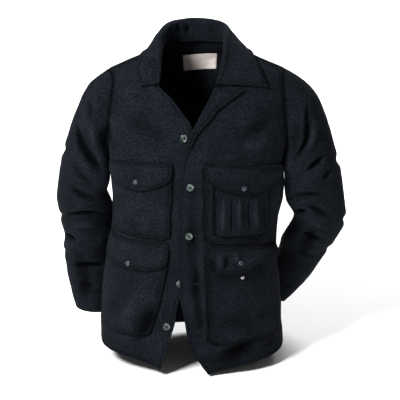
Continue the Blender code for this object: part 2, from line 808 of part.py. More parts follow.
def add_patch(name, panel, patch, lift, material, collection, tubes=()):
    """A pocket; tubes are the shares of its width where its stitching parts it into raised tubes."""
    middles = [(a + b) / 2 for a, b in zip(tubes[:-1], tubes[1:])]
    inner = patch_grid(panel, patch, lift, [*tubes, *middles])
    outer = patch_grid(panel, patch, lift + CLOTH, [*tubes, *middles])
    columns = np.array(patch_columns(patch, [*tubes, *middles]))
    shares = (columns - columns[0]) / (columns[-1] - columns[0])
    for left, right in zip(tubes[:-1], tubes[1:]):
        swell = np.clip((shares - left) / (right - left), 0, 1)
        rise = (outer - inner) / np.linalg.norm(outer - inner, axis=2, keepdims=True)
        outer[1:] += rise[1:] * (TUBE_RISE * np.sin(math.pi * swell))[None, :, None]
    return wall(name, inner, outer, material, collection)


class Flap:
    """Shape of a pocket flap over its pocket: how deep it hangs and how far its edge stands off."""

    def __init__(self, panel, patch, kind, top, lift):
        self.panel, self.kind, self.top, self.lift = panel, kind, top, lift
        self.rise = patch.top_rise
        self.columns = patch_columns(patch)
        first, last = self.columns[0], self.columns[-1]
        self.shares = [(c - first) / (last - first) for c in self.columns]
        for share in FLAP_END_SHARES:
            if min(abs(share - other) for other in self.shares) > FLAP_COLUMN_GAP:
                self.shares.append(share)
        self.shares.sort()

    def point(self, share, drop, lift):
        """Point at a share of the width and of the depth; the top is sewn down on the panel."""
        lift -= (self.lift - CLOTH - FLAP_SEAM) * (1 - ease(drop / FLAP_DROPS[1]))
        depth = smooth(FLAP_EDGE, "share", self.kind, share)
        off = smooth(FLAP_EDGE, "share", self.kind + "_off", share) * drop * drop
        column = self.columns[0] + (self.columns[-1] - self.columns[0]) * share
        height = self.top + self.rise * share * (1 - FLAP_LEVELLING * drop) - depth * drop
        return self.panel.place(height, column, lift + off)

    def grid(self, lift):
        drops = FLAP_DROPS[::-1]
        return np.array(
            [[self.point(share, drop, lift) for share in self.shares] for drop in drops]
        )

    def snap_place(self, share, drop):
        """Point and normal on the outer face."""
        outer = self.grid(self.lift + CLOTH)
        depths = [1 - d for d in FLAP_DROPS[::-1]]
        row = np.interp(1 - drop, depths, range(len(depths)))
        column = np.interp(share, self.shares, range(len(self.shares)))
        normal = grid_value(grid_normals(outer, outward=np.array([0, -1, 0])), row, column)
        normal /= np.linalg.norm(normal)
        gap = OPEN_SNAP_GAP if self.kind == "open" else SNAP_GAP
        return grid_value(outer, row, column) + normal * gap, normal


def lapel_path(panel, row, width, inside, end_row):
    """Points across the lapel: hidden strip, roll round the panel's edge, and the turned part."""
    edge = grid_value(panel.points, row, 0.0)
    normal = grid_value(panel.normals, row, 0.0)
    normal /= np.linalg.norm(normal)
    beside = grid_value(panel.points, row, 1.0) - edge
    beside -= normal * (beside @ normal)
    beside /= np.linalg.norm(beside)
    middle = edge + normal * CLOTH / 2
    path = []
    strip = -90 * inside - 10 * (1 - inside)
    turn = math.radians(strip)
    start = middle - beside * LAPEL_ROLL * math.cos(turn) + normal * LAPEL_ROLL * math.sin(turn)
    if inside > 0:
        path.append(start + beside * LAPEL_STRIP * inside)
    else:
        path.append(start)
    first = strip + (0 if inside > 0 else 18)
    for share in (0.0, 0.5, 1.0):
        turn = math.radians(first + (90 - first) * share)
        path.append(
            middle - beside * LAPEL_ROLL * math.cos(turn) + normal * LAPEL_ROLL * math.sin(turn)
        )
    step = np.linalg.norm(grid_value(panel.points, row, 1.0) - edge)
    for share in (0.25, 0.5, 0.75, 1.0):
        column = width * share / step
        across = row + (end_row - row) * share * share
        base = grid_value(panel.points, across, column)
        up = grid_value(panel.normals, across, column)
        rise = CLOTH / 2 + LAPEL_ROLL + 5 * math.sin(math.pi * min(share, 0.8)) * width / 50
        path.append(base + up / np.linalg.norm(up) * rise)
    return path


def add_lapel(name, panel, material, collection):
    rows = np.linspace(LAPEL[0].row, LAPEL[-1].row, LAPEL_STEPS + 1)
    rows = sorted({round(float(r), 2) for r in rows} | {2.0, 3.0, 4.0, 5.0, 5.45})
    grid = []
    for row in rows:
        width, inside, end_row = (smooth(LAPEL, "row", c, row) for c in Lapel._fields[1:])
        grid.append(lapel_path(panel, SKIRT_ROWS + row, width, inside, SKIRT_ROWS + end_row))
    grid = np.array(grid)
    normals = grid_normals(grid)
    return wall(name, grid - normals * CLOTH / 2, grid + normals * CLOTH / 2, material, collection)


def neckline(right, back, left):
    """Seam points round the neck, from the right front's corner to the left front's."""
    corner = SKIRT_ROWS + 6
    points = [right.points[i][0] for i in range(corner, SKIRT_ROWS + YOKE_ROWS)]
    shoulder = BACK_HALF_COLUMNS - 4
    across = back[-1][shoulder : back.shape[1] - shoulder]
    points += list(across[::-1])
    points += [left.points[i][0] for i in range(SKIRT_ROWS + YOKE_ROWS - 1, corner - 1, -1)]
    return np.array(points)


def add_collar(name, seam, material, collection):
    """Stand, roll and fall of the collar, lofted round the neck seam."""
    stations = [seam[0]]
    for a, b in zip(seam[:-1], seam[1:]):
        stations += [(a + b) / 2, b]
    stations = np.array(stations)
    lengths = np.concatenate([[0], np.cumsum(np.linalg.norm(np.diff(stations, axis=0), axis=1))])
    shares = lengths / lengths[-1]
    grid = []
    for station, share in zip(stations, shares):
        row = Collar(share, *(smooth(COLLAR, "share", c, share) for c in Collar._fields[1:]))
        roll = np.array([row.roll_x, row.roll_y, row.roll_z])
        edge = np.array([row.edge_x, row.edge_y, row.edge_z])
        out = edge - roll
        out[2] = 0
        out /= np.linalg.norm(out)
        up = np.array([0.0, 0.0, 1.0])
        foot = station - out * (COLLAR_CLOTH / 2 + COLLAR_SEAM) + up * COLLAR_FOOT_RISE
        middle = roll - up * row.roll_radius
        start = middle - out * row.roll_radius
        line = [foot + (start - foot) * k / STAND_POINTS for k in range(STAND_POINTS)]
        for turn in (180, 135, 90, 45, 0):
            turn = math.radians(turn)
            line.append(middle + (out * math.cos(turn) + up * math.sin(turn)) * row.roll_radius)
        last = line[-1]
        fall = edge - last
        bulge = np.cross(fall, np.cross(up, out))
        fullness = COLLAR_BULGE * math.sin(math.pi * min(max(share, COLLAR_END), 1 - COLLAR_END))
        bulge *= fullness * np.linalg.norm(fall) / max(np.linalg.norm(bulge), TINY)
        if bulge[2] < 0:
            bulge = -bulge
        for k in range(1, FALL_POINTS + 1):
            share_down = k / FALL_POINTS
            point = last + fall * share_down + bulge * math.sin(math.pi * share_down)
            line.append(clear_of_body(point, COLLAR_CLEARANCE))
        grid.append(line)
    grid = np.array(grid)
    normals = grid_normals(grid)
    half = normals * COLLAR_CLOTH / 2
    return wall(name, grid - half, grid + half, material, collection)


def turned(name, profile, material, collection, steps=16):
    """A round piece about local Z from a closed profile of (radius, height) in millimetres."""
    rings = []
    points = []
    for radius, height in profile:
        if radius == 0:
            rings.append([len(points)])
            points.append((0, 0, height * MM))
            continue
        rings.append(list(range(len(points), len(points) + steps)))
        for k in range(steps):
            turn = 2 * math.pi * k / steps
            points.append((radius * math.cos(turn) * MM, radius * math.sin(turn) * MM, height * MM))
    faces = []
    for low, high in zip(rings[:-1], rings[1:]):
        for k in range(steps):
            a, b = low[k % len(low)], low[(k + 1) % len(low)]
            c, d = high[(k + 1) % len(high)], high[k % len(high)]
            faces.append(tuple(dict.fromkeys((a, b, c, d))))
    mesh = bpy.data.meshes.new(name)
    mesh.from_pydata(points, [], faces)
    if signed_volume(mesh) < 0:
        mesh.flip_normals()
    mesh.shade_smooth()
    mesh.set_sharp_from_angle(angle=math.radians(40))
    return add_object(name, mesh, material, collection)


def seat(node, point, normal):
    """Puts a round piece on the cloth, its own Z along the cloth's normal."""
    turn = Vector(normal).to_track_quat("Z", "Y")
    node.matrix_world = Matrix.Translation(Vector(point) * MM) @ turn.to_matrix().to_4x4()


def add_button(name, panel, notion, material, collection, cutters):
    rim, dish = BUTTON_RADIUS, BUTTON_RADIUS - 2.6
    profile = [
        (0, 0),
        (rim - 1.2, 0),
        (rim, 1.0),
        (rim, BUTTON_THICKNESS - 1.0),
        (rim - 0.9, BUTTON_THICKNESS),
        (dish + 0.6, BUTTON_THICKNESS),
        (dish, BUTTON_THICKNESS - 0.9),
        (0, BUTTON_THICKNESS - 0.9),
    ]
    button = turned(name, profile, material, collection)
    row, column = panel.find(notion.x, notion.height)
    normal = grid_value(panel.normals, row, column)
    normal /= np.linalg.norm(normal)
    point = grid_value(panel.points, row, column) + normal * (CLOTH + notion.gap)
    seat(button, point, normal)
    for index, (x, y) in enumerate(((1, 1), (-1, 1), (-1, -1), (1, -1))):
        hole = turned(f"{name}_hole_{index}", [(0, -1), (0.9, -1), (0.9, 5), (0, 5)], material, cutters, 6)
        hole.matrix_world = button.matrix_world @ Matrix.Translation((x * 1.7 * MM, y * 1.7 * MM, 0))
        hole.hide_render = True
        hole.display_type = "WIRE"
        cut = button.modifiers.new(f"hole {index}", "BOOLEAN")
        cut.operation = "DIFFERENCE"
        cut.object = hole
    return button


def add_label(name, back, normals, material, collection):
    """Woven label on the inside of the back."""
    inner, outer = [], []
    for i in range(LABEL_ROWS + 1):
        down = i / LABEL_ROWS
        for line in (inner, outer):
            line.append([])
        for j in range(LABEL_COLUMNS + 1):
            across = j / LABEL_COLUMNS
            corners = [np.array(c, float) for pair in LABEL for c in pair]
            top = corners[0] * (1 - across) + corners[1] * across
            low = corners[2] * (1 - across) + corners[3] * across
            row, column = find_on(back, *(top * (1 - down) + low * down))
            normal = grid_value(normals, row, column)
            point = grid_value(back, row, column)
            outer[-1].append(point - normal * SEAM)
            inner[-1].append(point - normal * (SEAM + LABEL_CLOTH))
    wall(name, np.array(inner), np.array(outer), material, collection)


def add_snap(name, point, normal, material, collection, stud=False):
    if stud:
        profile = [(0, 0), (4.6, 0), (4.6, 0.7), (2.1, 1.0), (1.7, 2.2), (2.2, 3.0), (1.4, 3.6), (0, 3.8)]
    else:
        profile = [
            (0, 0),
            (SNAP_RADIUS - 0.4, 0),
            (SNAP_RADIUS, 0.5),
            (SNAP_RADIUS - 0.4, 1.2),
            (SNAP_RADIUS - 1.2, 1.3),
            (SNAP_RADIUS - 2.6, SNAP_THICKNESS - 0.3),
            (0, SNAP_THICKNESS),
        ]
    seat(turned(name, profile, material, collection, 16), point, normal)


def material(name, colour, roughness, metallic=0.0):
    finish = bpy.data.materials.new(name)
    finish.use_nodes = True
    shader = finish.node_tree.nodes["Principled BSDF"]
    shader.inputs["Base Color"].default_value = (*colour, 1)
    shader.inputs["Roughness"].default_value = roughness
    shader.inputs["Metallic"].default_value = metallic
    return finish


def main():
    for old in list(bpy.data.objects):
        bpy.data.objects.remove(old)
    parts = bpy.data.collections.new("mackinaw_jacket")
    cutters = bpy.data.collections.new("cutters")
    cutters.hide_render = True
    for group in (parts, cutters):
        bpy.context.scene.collection.children.link(group)

    wool = material("wool", (0.018, 0.022, 0.032), 0.95)
    horn = material("button", (0.05, 0.075, 0.062), 0.3)
    metal = material("snap", (0.32, 0.32, 0.36), 0.35, 0.9)
    woven = material("label", (0.80, 0.77, 0.70), 0.85)

    left = Panel("front_left", True, wool, parts)
    right = Panel("front_right", False, wool, parts)
    back = surface(back_grid())
    back_normals = grid_normals(back, outward=np.array([0, 1, 0]))
    wall("back", back, back + back_normals * CLOTH, wool, parts)

    for name, panel, table, creases in (
        ("sleeve_left", left, LEFT_SLEEVE, LEFT_CREASES),
        ("sleeve_right", right, RIGHT_SLEEVE, RIGHT_CREASES),
    ):
        rim, into = armhole_rim(panel.points, back, panel.normals, back_normals, panel.left)
        add_sleeve(name, rim, into, table, creases, wool, parts)

    add_lapel("facing_left", left, wool, parts)
    add_collar("collar", neckline(right, back, left), wool, parts)

    on_cloth = CLOTH + LAYER
    on_pocket = on_cloth + CLOTH + LAYER
    add_patch("chest_pocket_left", left, CHEST_POCKET_LEFT, on_cloth, wool, parts)
    add_patch("chest_pocket_right", right, CHEST_POCKET_RIGHT, on_cloth, wool, parts)
    add_patch("lower_pocket_left", left, LOWER_POCKET_LEFT, on_cloth, wool, parts)
    add_patch("lower_pocket_right", right, LOWER_POCKET_RIGHT, on_cloth, wool, parts)
    add_patch("pencil_pocket", left, PENCIL_POCKET, on_pocket, wool, parts, PENCIL_TUBES)

    on_pencils = on_pocket + CLOTH + TUBE_RISE + LAYER
    flaps = (
        ("left", "chest", left, CHEST_POCKET_LEFT, "chest", -196, on_pencils, (0.50, 0.78)),
        ("right", "chest", right, CHEST_POCKET_RIGHT, "chest", -196, on_pocket, (0.52, 0.74)),
        ("left", "lower", left, LOWER_POCKET_LEFT, "open", -418, on_pocket, (0.46, 0.60)),
        ("right", "lower", right, LOWER_POCKET_RIGHT, "lower", -414, on_pocket, (0.54, 0.80)),
    )
    for side, place, panel, patch, kind, top, lift, snap in flaps:
        flap = Flap(panel, patch, kind, top, lift)
        wall(f"{place}_flap_{side}", flap.grid(lift), flap.grid(lift + CLOTH), wool, parts)
        add_snap(f"{place}_snap_{side}", *flap.snap_place(*snap), metal, parts)

    row, column = left.find(POCKET_STUD.x, POCKET_STUD.height)
    normal = left.normal(row, column)
    point = grid_value(left.points, row, column) + normal * (on_cloth + CLOTH + POCKET_STUD.gap)
    add_snap("pocket_stud", point, normal, metal, parts, stud=True)

    add_label("neck_label", back, back_normals, woven, parts)

    for notions, panel in ((BUTTONS_RIGHT_FRONT, right), (BUTTONS_LEFT_FRONT, left)):
        for name, notion in notions.items():
            add_button(name, panel, notion, horn, parts, cutters)

    bpy.context.view_layer.update()


main()
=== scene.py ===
"""Looks of a heavy wool mackinaw jacket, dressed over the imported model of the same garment.

Frame: metres, +Z up, the front faces -Y and the garment's own left is +X. The origin lies between
the shoulder tips. Tables of places are in millimetres.
"""

import json
import math
from collections import namedtuple

import bmesh
import bpy
import numpy as np
from mathutils import Matrix, Vector, bvhtree, kdtree

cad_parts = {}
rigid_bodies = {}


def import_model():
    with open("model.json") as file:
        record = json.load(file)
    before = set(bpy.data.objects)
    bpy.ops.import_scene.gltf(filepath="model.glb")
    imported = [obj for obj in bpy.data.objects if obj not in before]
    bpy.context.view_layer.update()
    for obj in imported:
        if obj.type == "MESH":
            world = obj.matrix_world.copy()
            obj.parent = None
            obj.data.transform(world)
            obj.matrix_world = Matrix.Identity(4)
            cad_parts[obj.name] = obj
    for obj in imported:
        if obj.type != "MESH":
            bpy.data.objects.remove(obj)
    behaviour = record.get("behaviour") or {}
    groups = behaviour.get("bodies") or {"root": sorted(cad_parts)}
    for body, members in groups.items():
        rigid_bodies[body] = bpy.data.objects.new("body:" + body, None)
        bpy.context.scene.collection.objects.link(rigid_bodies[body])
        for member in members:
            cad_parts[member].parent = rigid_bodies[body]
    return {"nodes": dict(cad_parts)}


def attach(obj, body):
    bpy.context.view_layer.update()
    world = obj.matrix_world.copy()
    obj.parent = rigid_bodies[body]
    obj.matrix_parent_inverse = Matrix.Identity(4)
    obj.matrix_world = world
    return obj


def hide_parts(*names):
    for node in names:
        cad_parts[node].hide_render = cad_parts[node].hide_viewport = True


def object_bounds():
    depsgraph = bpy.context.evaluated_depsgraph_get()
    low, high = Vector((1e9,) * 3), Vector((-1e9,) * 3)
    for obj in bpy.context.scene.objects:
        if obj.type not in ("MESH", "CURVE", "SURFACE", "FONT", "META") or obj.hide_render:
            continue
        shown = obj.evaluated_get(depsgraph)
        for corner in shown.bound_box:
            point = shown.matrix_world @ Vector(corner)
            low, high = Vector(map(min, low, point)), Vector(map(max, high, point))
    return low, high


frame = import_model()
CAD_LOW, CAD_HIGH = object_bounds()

bl_info = {
    "name": "Mackinaw jacket",
    "version": (1, 0, 0),
    "blender": (4, 5, 0),
    "location": "View3D > Sidebar > Jacket",
    "description": "Dresses the jacket's solids in wool, thread, horn buttons and metal snaps",
    "category": "Object",
}

MM = 0.001
BODY = "root"
SHARP = math.radians(60)
MERGE = 0.00002

# Cloth pieces: how often each is subdivided, and the flat cut it was sewn from, in metres
Cloth = namedtuple("Cloth", "level width length area held rests_on")
CLOTHS = {
    "back": Cloth(3, 0.560, 0.830, 0.440, "hung", ("sleeve_left", "sleeve_right", "collar")),
    "front_left": Cloth(3, 0.330, 0.840, 0.231, "hung", ("back", "sleeve_left", "collar")),
    "front_right": Cloth(3, 0.300, 0.830, 0.197, "hung", ("back", "sleeve_right", "collar")),
    "sleeve_left": Cloth(3, 0.480, 0.780, 0.241, "hung", ("back", "front_left")),
    "sleeve_right": Cloth(3, 0.480, 0.770, 0.231, "hung", ("back", "front_right")),
    "collar": Cloth(2, 0.520, 0.130, 0.059, "folded", ("back", "front_left", "front_right")),
    "facing_left": Cloth(2, 0.180, 0.085, 0.008, "folded", ("front_left",)),
    "chest_pocket_left": Cloth(3, 0.215, 0.205, 0.043, "laid", ("front_left",)),
    "chest_pocket_right": Cloth(3, 0.190, 0.200, 0.036, "laid", ("front_right",)),
    "lower_pocket_left": Cloth(3, 0.215, 0.245, 0.050, "laid", ("front_left",)),
    "lower_pocket_right": Cloth(3, 0.200, 0.230, 0.044, "laid", ("front_right",)),
    "pencil_pocket": Cloth(3, 0.165, 0.170, 0.026, "laid", ("chest_pocket_left",)),
    "chest_flap_left": Cloth(3, 0.225, 0.082, 0.0158, "laid", ("pencil_pocket", "chest_pocket_left")),
    "chest_flap_right": Cloth(3, 0.190, 0.082, 0.0121, "laid", ("chest_pocket_right",)),
    "lower_flap_left": Cloth(3, 0.222, 0.075, 0.0125, "laid", ("lower_pocket_left",)),
    "lower_flap_right": Cloth(3, 0.200, 0.080, 0.0144, "laid", ("lower_pocket_right",)),
    "neck_label": Cloth(3, 0.087, 0.049, 0.0040, "laid", ("back",)),
}

# Creases and drags: from which side each is seen, its depth (a ridge is negative), the half width
# of its trough, and points along it as (x, z), or (y, z) on the two outer sides
Fold = namedtuple("Fold", "side depth width points")
FOLDS = [
    # The wearer's right sleeve, at the picture's left
    Fold("front", 9.0, 15, ((-291, -104), (-294, -148), (-284, -184), (-262, -222), (-240, -252), (-222, -277))),
    Fold("front", -4.0, 16, ((-262, -118), (-254, -160), (-238, -200))),
    Fold("front", 4.0, 15, ((-262, -66), (-263, -97), (-259, -130))),
    Fold("front", 4.0, 15, ((-312, -226), (-285, -268), (-248, -306))),
    Fold("front", 5.0, 15, ((-322, -296), (-285, -324), (-232, -352))),
    Fold("front", 6.5, 11, ((-335, -404), (-300, -388), (-262, -384), (-226, -398))),
    Fold("front", -4.0, 15, ((-318, -432), (-280, -424), (-244, -430))),
    Fold("front", 6.5, 10, ((-318, -556), (-285, -549), (-250, -550), (-228, -560))),
    Fold("front", 7.0, 12, ((-334, -462), (-318, -470), (-296, -474))),
    Fold("front", 3.0, 13, ((-300, -620), (-280, -610), (-250, -610))),
    Fold("front", 3.5, 14, ((-222, -116), (-214, -154), (-208, -196))),
    # The wearer's left sleeve, at the picture's right
    Fold("front", 7.5, 12, ((275, -56), (277, -110), (276, -168), (262, -202), (246, -234))),
    Fold("front", -4.0, 12, ((294, -104), (292, -150), (276, -192), (258, -214))),
    Fold("front", 7.0, 11, ((322, -216), (300, -235), (274, -258))),
    Fold("front", 5.0, 10, ((338, -254), (326, -270), (312, -284))),
    Fold("front", 5.0, 12, ((232, -342), (262, -328), (296, -321), (330, -326))),
    Fold("front", 8.0, 11, ((246, -383), (262, -377), (278, -368))),
    Fold("front", 5.5, 13, ((274, -350), (308, -372), (346, -402))),
    Fold("front", -4.0, 14, ((276, -392), (306, -410), (338, -434))),
    Fold("front", 4.5, 14, ((256, -440), (296, -460), (332, -468))),
    Fold("front", 4.0, 14, ((240, -496), (272, -514), (304, -527))),
    # Broad hollows of the sleeves and the hem
    Fold("front", 4.5, 26, ((-306, -478), (-290, -540), (-280, -610), (-276, -672))),
    Fold("front", 4.5, 22, ((-238, -120), (-226, -170), (-222, -226))),
    Fold("front", 4.0, 22, ((250, -100), (246, -150), (236, -200))),
    Fold("front", 4.5, 24, ((300, -420), (280, -470), (262, -520))),
    Fold("front", 4.5, 26, ((34, -742), (100, -728), (166, -704))),
    # Body fronts: drags towards the first button, the hem's diagonal and the hollow of the placket
    Fold("front", 2.6, 36, ((-196, -86), (-152, -112), (-104, -132), (-56, -142))),
    Fold("front", 3.2, 32, ((206, -78), (176, -108), (134, -134), (92, -150))),
    Fold("front", -3.0, 26, ((190, -130), (150, -160), (104, -176))),
    Fold("front", 6.0, 26, ((-104, -566), (-116, -618), (-134, -662), (-158, -706))),
    Fold("front", -4.0, 24, ((-150, -560), (-166, -610), (-186, -650))),
    Fold("front", 5.0, 20, ((48, -716), (110, -702), (172, -676))),
    Fold("front", 3.6, 20, ((-4, -236), (-6, -330), (-8, -430), (-4, -520), (0, -600))),
    Fold("front", 4.0, 14, ((2, -440), (4, -520), (8, -600), (16, -670))),
    Fold("front", -3.0, 22, ((-120, -330), (-128, -372), (-122, -402))),
    Fold("front", 2.0, 28, ((60, -610), (112, -640), (166, -644))),
    # Flaps and pockets: the rippled flap that hangs open, and the pencil channels
    Fold("front", 3.4, 12, ((40, -440), (44, -466), (50, -486))),
    Fold("front", 3.2, 12, ((80, -440), (78, -464), (74, -484))),
    Fold("front", -2.4, 12, ((60, -436), (62, -462), (62, -490))),
    Fold("front", -4.0, 12, ((102, -438), (102, -456), (98, -470))),
    Fold("front", 3.6, 4.0, ((89, -286), (89, -340), (89, -396))),
    Fold("front", 3.6, 4.0, ((131, -290), (131, -346), (131, -402))),
    Fold("front", 2.4, 4.0, ((51, -284), (51, -340), (51, -396))),
    Fold("front", 2.4, 4.0, ((169, -304), (169, -360), (169, -410))),
    Fold("front", -3.2, 10, ((70, -284), (70, -340), (70, -394))),
    Fold("front", -3.2, 10, ((110, -288), (110, -342), (110, -398))),
    Fold("front", -3.2, 10, ((150, -296), (150, -350), (150, -402))),
    # Inside of the collar at the back of the neck
    Fold("front", 3.5, 7, ((-42, 88), (-43, 76), (-41, 60))),
    Fold("front", 3.5, 7, ((-20, 84), (-20, 70), (-22, 54))),
    Fold("front", 2.0, 12, ((34, 84), (38, 70), (40, 56))),
    # Back of the body, out of the picture
    Fold("back", 3.6, 34, ((-190, -84), (-150, -132), (-112, -210), (-96, -276))),
    Fold("back", 3.8, 32, ((188, -96), (150, -160), (112, -240), (88, -300))),
    Fold("back", -3.0, 36, ((0, -60), (6, -150), (-4, -260))),
    Fold("back", 4.2, 22, ((-206, -404), (-160, -436), (-92, -446), (-30, -436))),
    Fold("back", 3.4, 24, ((200, -386), (150, -424), (84, -436), (30, -420))),
    Fold("back", 2.6, 24, ((-132, -478), (-60, -506), (18, -500), (70, -484))),
    Fold("back", 5.0, 34, ((-128, -742), (-120, -668), (-98, -570), (-84, -500))),
    Fold("back", -4.0, 34, ((-62, -744), (-50, -656), (-38, -570))),
    Fold("back", 4.6, 32, ((48, -742), (62, -664), (86, -560), (100, -496))),
    Fold("back", -3.6, 32, ((124, -742), (134, -650), (150, -560))),
    # Backs of the sleeves
    Fold("back", 4.6, 17, ((-303, -146), (-284, -180), (-250, -232), (-230, -276))),
    Fold("back", 3.6, 16, ((-336, -292), (-304, -326), (-266, -342), (-226, -336))),
    Fold("back", 4.6, 15, ((-342, -372), (-312, -398), (-276, -412), (-236, -398))),
    Fold("back", 2.6, 18, ((-330, -446), (-296, -474), (-262, -486), (-232, -476))),
    Fold("back", 3.4, 16, ((-322, -574), (-292, -556), (-258, -552), (-232, -566))),
    Fold("back", 4.4, 17, ((316, -136), (300, -172), (268, -222), (244, -268))),
    Fold("back", 3.8, 16, ((362, -292), (330, -328), (288, -342), (248, -330))),
    Fold("back", 4.6, 15, ((370, -376), (340, -398), (298, -406), (256, -388))),
    Fold("back", 2.6, 18, ((342, -462), (308, -482), (270, -474), (244, -456))),
    Fold("back", 3.2, 16, ((302, -564), (278, -550), (246, -538), (214, -546))),
    # Outer sides of the sleeves
    Fold("left", 3.2, 17, ((-44, -222), (-10, -244), (26, -256), (58, -246))),
    Fold("left", 3.6, 16, ((-30, -392), (4, -412), (42, -418), (78, -400))),
    Fold("left", 2.8, 17, ((10, -486), (48, -508), (84, -512), (116, -496))),
    Fold("right", 3.2, 17, ((-46, -192), (-12, -214), (22, -226), (56, -212))),
    Fold("right", 3.6, 16, ((-20, -392), (14, -410), (48, -414), (82, -398))),
    Fold("right", 3.0, 16, ((4, -500), (38, -518), (72, -522), (104, -508))),
]
FOLD_STEPS = 26
FOLD_END = 0.42
TAPER = 0.45
# Crease depth for full painted shade or light, and the gap, fade and armhole strength of the painted contact
# shadow
FOLD_SHADE_DEPTH = 0.0085
SHADOW_GAP = 0.0020
SHADOW_FADE = 0.0016
ARMHOLE_SHADOW = 0.5

# Where a sleeve is drawn in against the body at the foot of its armhole, to close the clearance
Draw = namedtuple("Draw", "middle slope reach share")
DRAWN_IN = [
    Draw((219, -2, -292), -0.09, (34, 70, 84), 0.98),
    Draw((-213.5, 4, -265), 0.0, (30, 60, 52), 0.95),
]

# Where a ray starts and which way it goes, to find the cloth seen from each side
Side = namedtuple("Side", "start direction")
SIDES = {
    "front": Side(lambda a, b: (a, -0.6, b), (0, 1, 0)),
    "back": Side(lambda a, b: (a, 0.6, b), (0, -1, 0)),
    "left": Side(lambda a, b: (0.6, a, b), (-1, 0, 0)),
    "right": Side(lambda a, b: (-0.6, a, b), (1, 0, 0)),
}

# Middle line of each sleeve, from the armhole down
SLEEVE_AXES = {
    "sleeve_left": ((245, -1, -130), (290, 10, -330), (300, 30, -430), (195, 158, -660)),
    "sleeve_right": ((-235, -1, -130), (-275, 16, -300), (-270, 70, -460), (-258, 100, -685)),
}

# Rows of topstitching at a distance from a piece's edge, on the part of it inside a box
Row = namedtuple("Row", "node inset low high")
EVERYWHERE = ((-999, -999, -999), (999, 999, 999))
ROWS = [
    Row("back", 7.0, *EVERYWHERE),
    Row("front_left", 7.0, *EVERYWHERE),
    Row("front_right", 7.0, *EVERYWHERE),
    Row("sleeve_left", 58.0, (-999, -999, -999), (999, 999, -400)),
    Row("sleeve_right", 58.0, (-999, -999, -999), (999, 999, -400)),
    Row("collar", 7.0, (-999, -999, -999), (-104, 20, 999)),
    Row("collar", 7.0, (76, -999, -999), (999, 20, 999)),
    Row("collar", 7.0, (-999, 20, -999), (999, 999, 999)),
    Row("facing_left", 7.0, *EVERYWHERE),
    Row("chest_pocket_left", 2.6, *EVERYWHERE),
    Row("chest_pocket_left", 8.6, *EVERYWHERE),
    Row("chest_pocket_right", 2.6, *EVERYWHERE),
    Row("chest_pocket_right", 8.6, *EVERYWHERE),
    Row("lower_pocket_left", 2.6, *EVERYWHERE),
    Row("lower_pocket_left", 8.6, *EVERYWHERE),
    Row("lower_pocket_right", 2.6, *EVERYWHERE),
    Row("lower_pocket_right", 8.6, *EVERYWHERE),
    Row("pencil_pocket", 2.6, *EVERYWHERE),
    Row("chest_flap_left", 2.4, *EVERYWHERE),
    Row("chest_flap_left", 8.4, *EVERYWHERE),
    Row("chest_flap_right", 2.4, *EVERYWHERE),
    Row("chest_flap_right", 8.4, *EVERYWHERE),
    Row("lower_flap_left", 2.4, *EVERYWHERE),
    Row("lower_flap_left", 8.4, *EVERYWHERE),
    Row("lower_flap_right", 2.4, *EVERYWHERE),
    Row("lower_flap_right", 8.4, *EVERYWHERE),
    Row("neck_label", 2.0, *EVERYWHERE),
]

# Rows of stitching across the cloth, seen from the front, as (x, z)
Seam = namedtuple("Seam", "name points")
SEAMS = [
    Seam("placket", ((12, -196), (12, -338), (15, -472), (18, -593), (25, -688))),
    Seam("neck_band", ((-30, 32), (0, 26), (32, 39))),
    Seam("pencil_channel_1", ((51, -292), (51, -340), (51, -392))),
    Seam("pencil_channel_2", ((89, -294), (89, -340), (89, -392))),
    Seam("pencil_channel_3", ((131, -298), (131, -346), (131, -396))),
    Seam("pencil_channel_4", ((169, -312), (169, -360), (169, -404))),
    Seam("neck_tape_1", ((-34, -74), (0, -79), (45, -72))),
    Seam("neck_tape_2", ((-34, -80), (0, -85), (45, -78))),
]

# Buttonholes, as (x, z) of their two ends
HOLES = [
    ((-5, -264), (12, -264)),
    ((-5, -395), (10, -395)),
    ((-12, -523), (12, -523)),
    ((-6, -653), (16, -655)),
    ((66, -30), (78, -38)),
]

BUTTONS = ("button_1", "button_2", "button_3", "button_4", "button_5")
SNAPS = ("chest_snap_left", "chest_snap_right", "lower_snap_left", "lower_snap_right")
STUD = "pocket_stud"

# Profiles turned round an axis, as (radius, height) from the seat to the middle of the face
BUTTON_PROFILE = (
    (0.0, 0.0), (5.6, 0.0), (8.2, 0.35), (9.3, 1.1), (9.5, 1.9), (9.15, 2.75), (8.4, 3.2),
    (7.5, 3.05), (6.7, 2.45), (5.6, 2.15), (0.0, 2.05),
)
SNAP_PROFILE = (
    (0.0, 0.0), (5.9, 0.0), (6.4, 0.35), (6.5, 0.8), (6.1, 1.25), (5.3, 1.3), (4.9, 1.1),
    (4.5, 1.35), (3.9, 1.95), (2.4, 2.3), (0.0, 2.4),
)
STUD_PROFILE = (
    (0.0, 0.0), (4.3, 0.0), (4.6, 0.3), (4.5, 0.7), (2.6, 0.9), (1.9, 1.3), (1.7, 2.0),
    (2.2, 2.6), (2.2, 3.1), (1.5, 3.6), (0.0, 3.8),
)
TURN_STEPS = 48
HOLE_SPREAD = 2.1
HOLE_RADIUS = 0.95

# The photograph's view: what it looks at, its height angle, and a long lens far off
VIEW_TARGET = (0.010, 0.0, -0.356)
VIEW_ELEVATION = 22.0
VIEW_DISTANCE = 10.0
VIEW_WIDTH = 1.0
SENSOR = 36.0

# Soft square lights of the stage, in metres; their powers are in StageSettings
Lamp = namedtuple("Lamp", "name size place target")
LAMPS = [
    Lamp("key", 1.1, (-2.3, -2.5, 2.8), VIEW_TARGET),
    Lamp("fill", 2.5, (3.0, -2.5, 0.8), VIEW_TARGET),
    Lamp("backdrop", 3.0, (0.9, 3.2, 2.6), (0.6, 1.3, -0.8)),
]


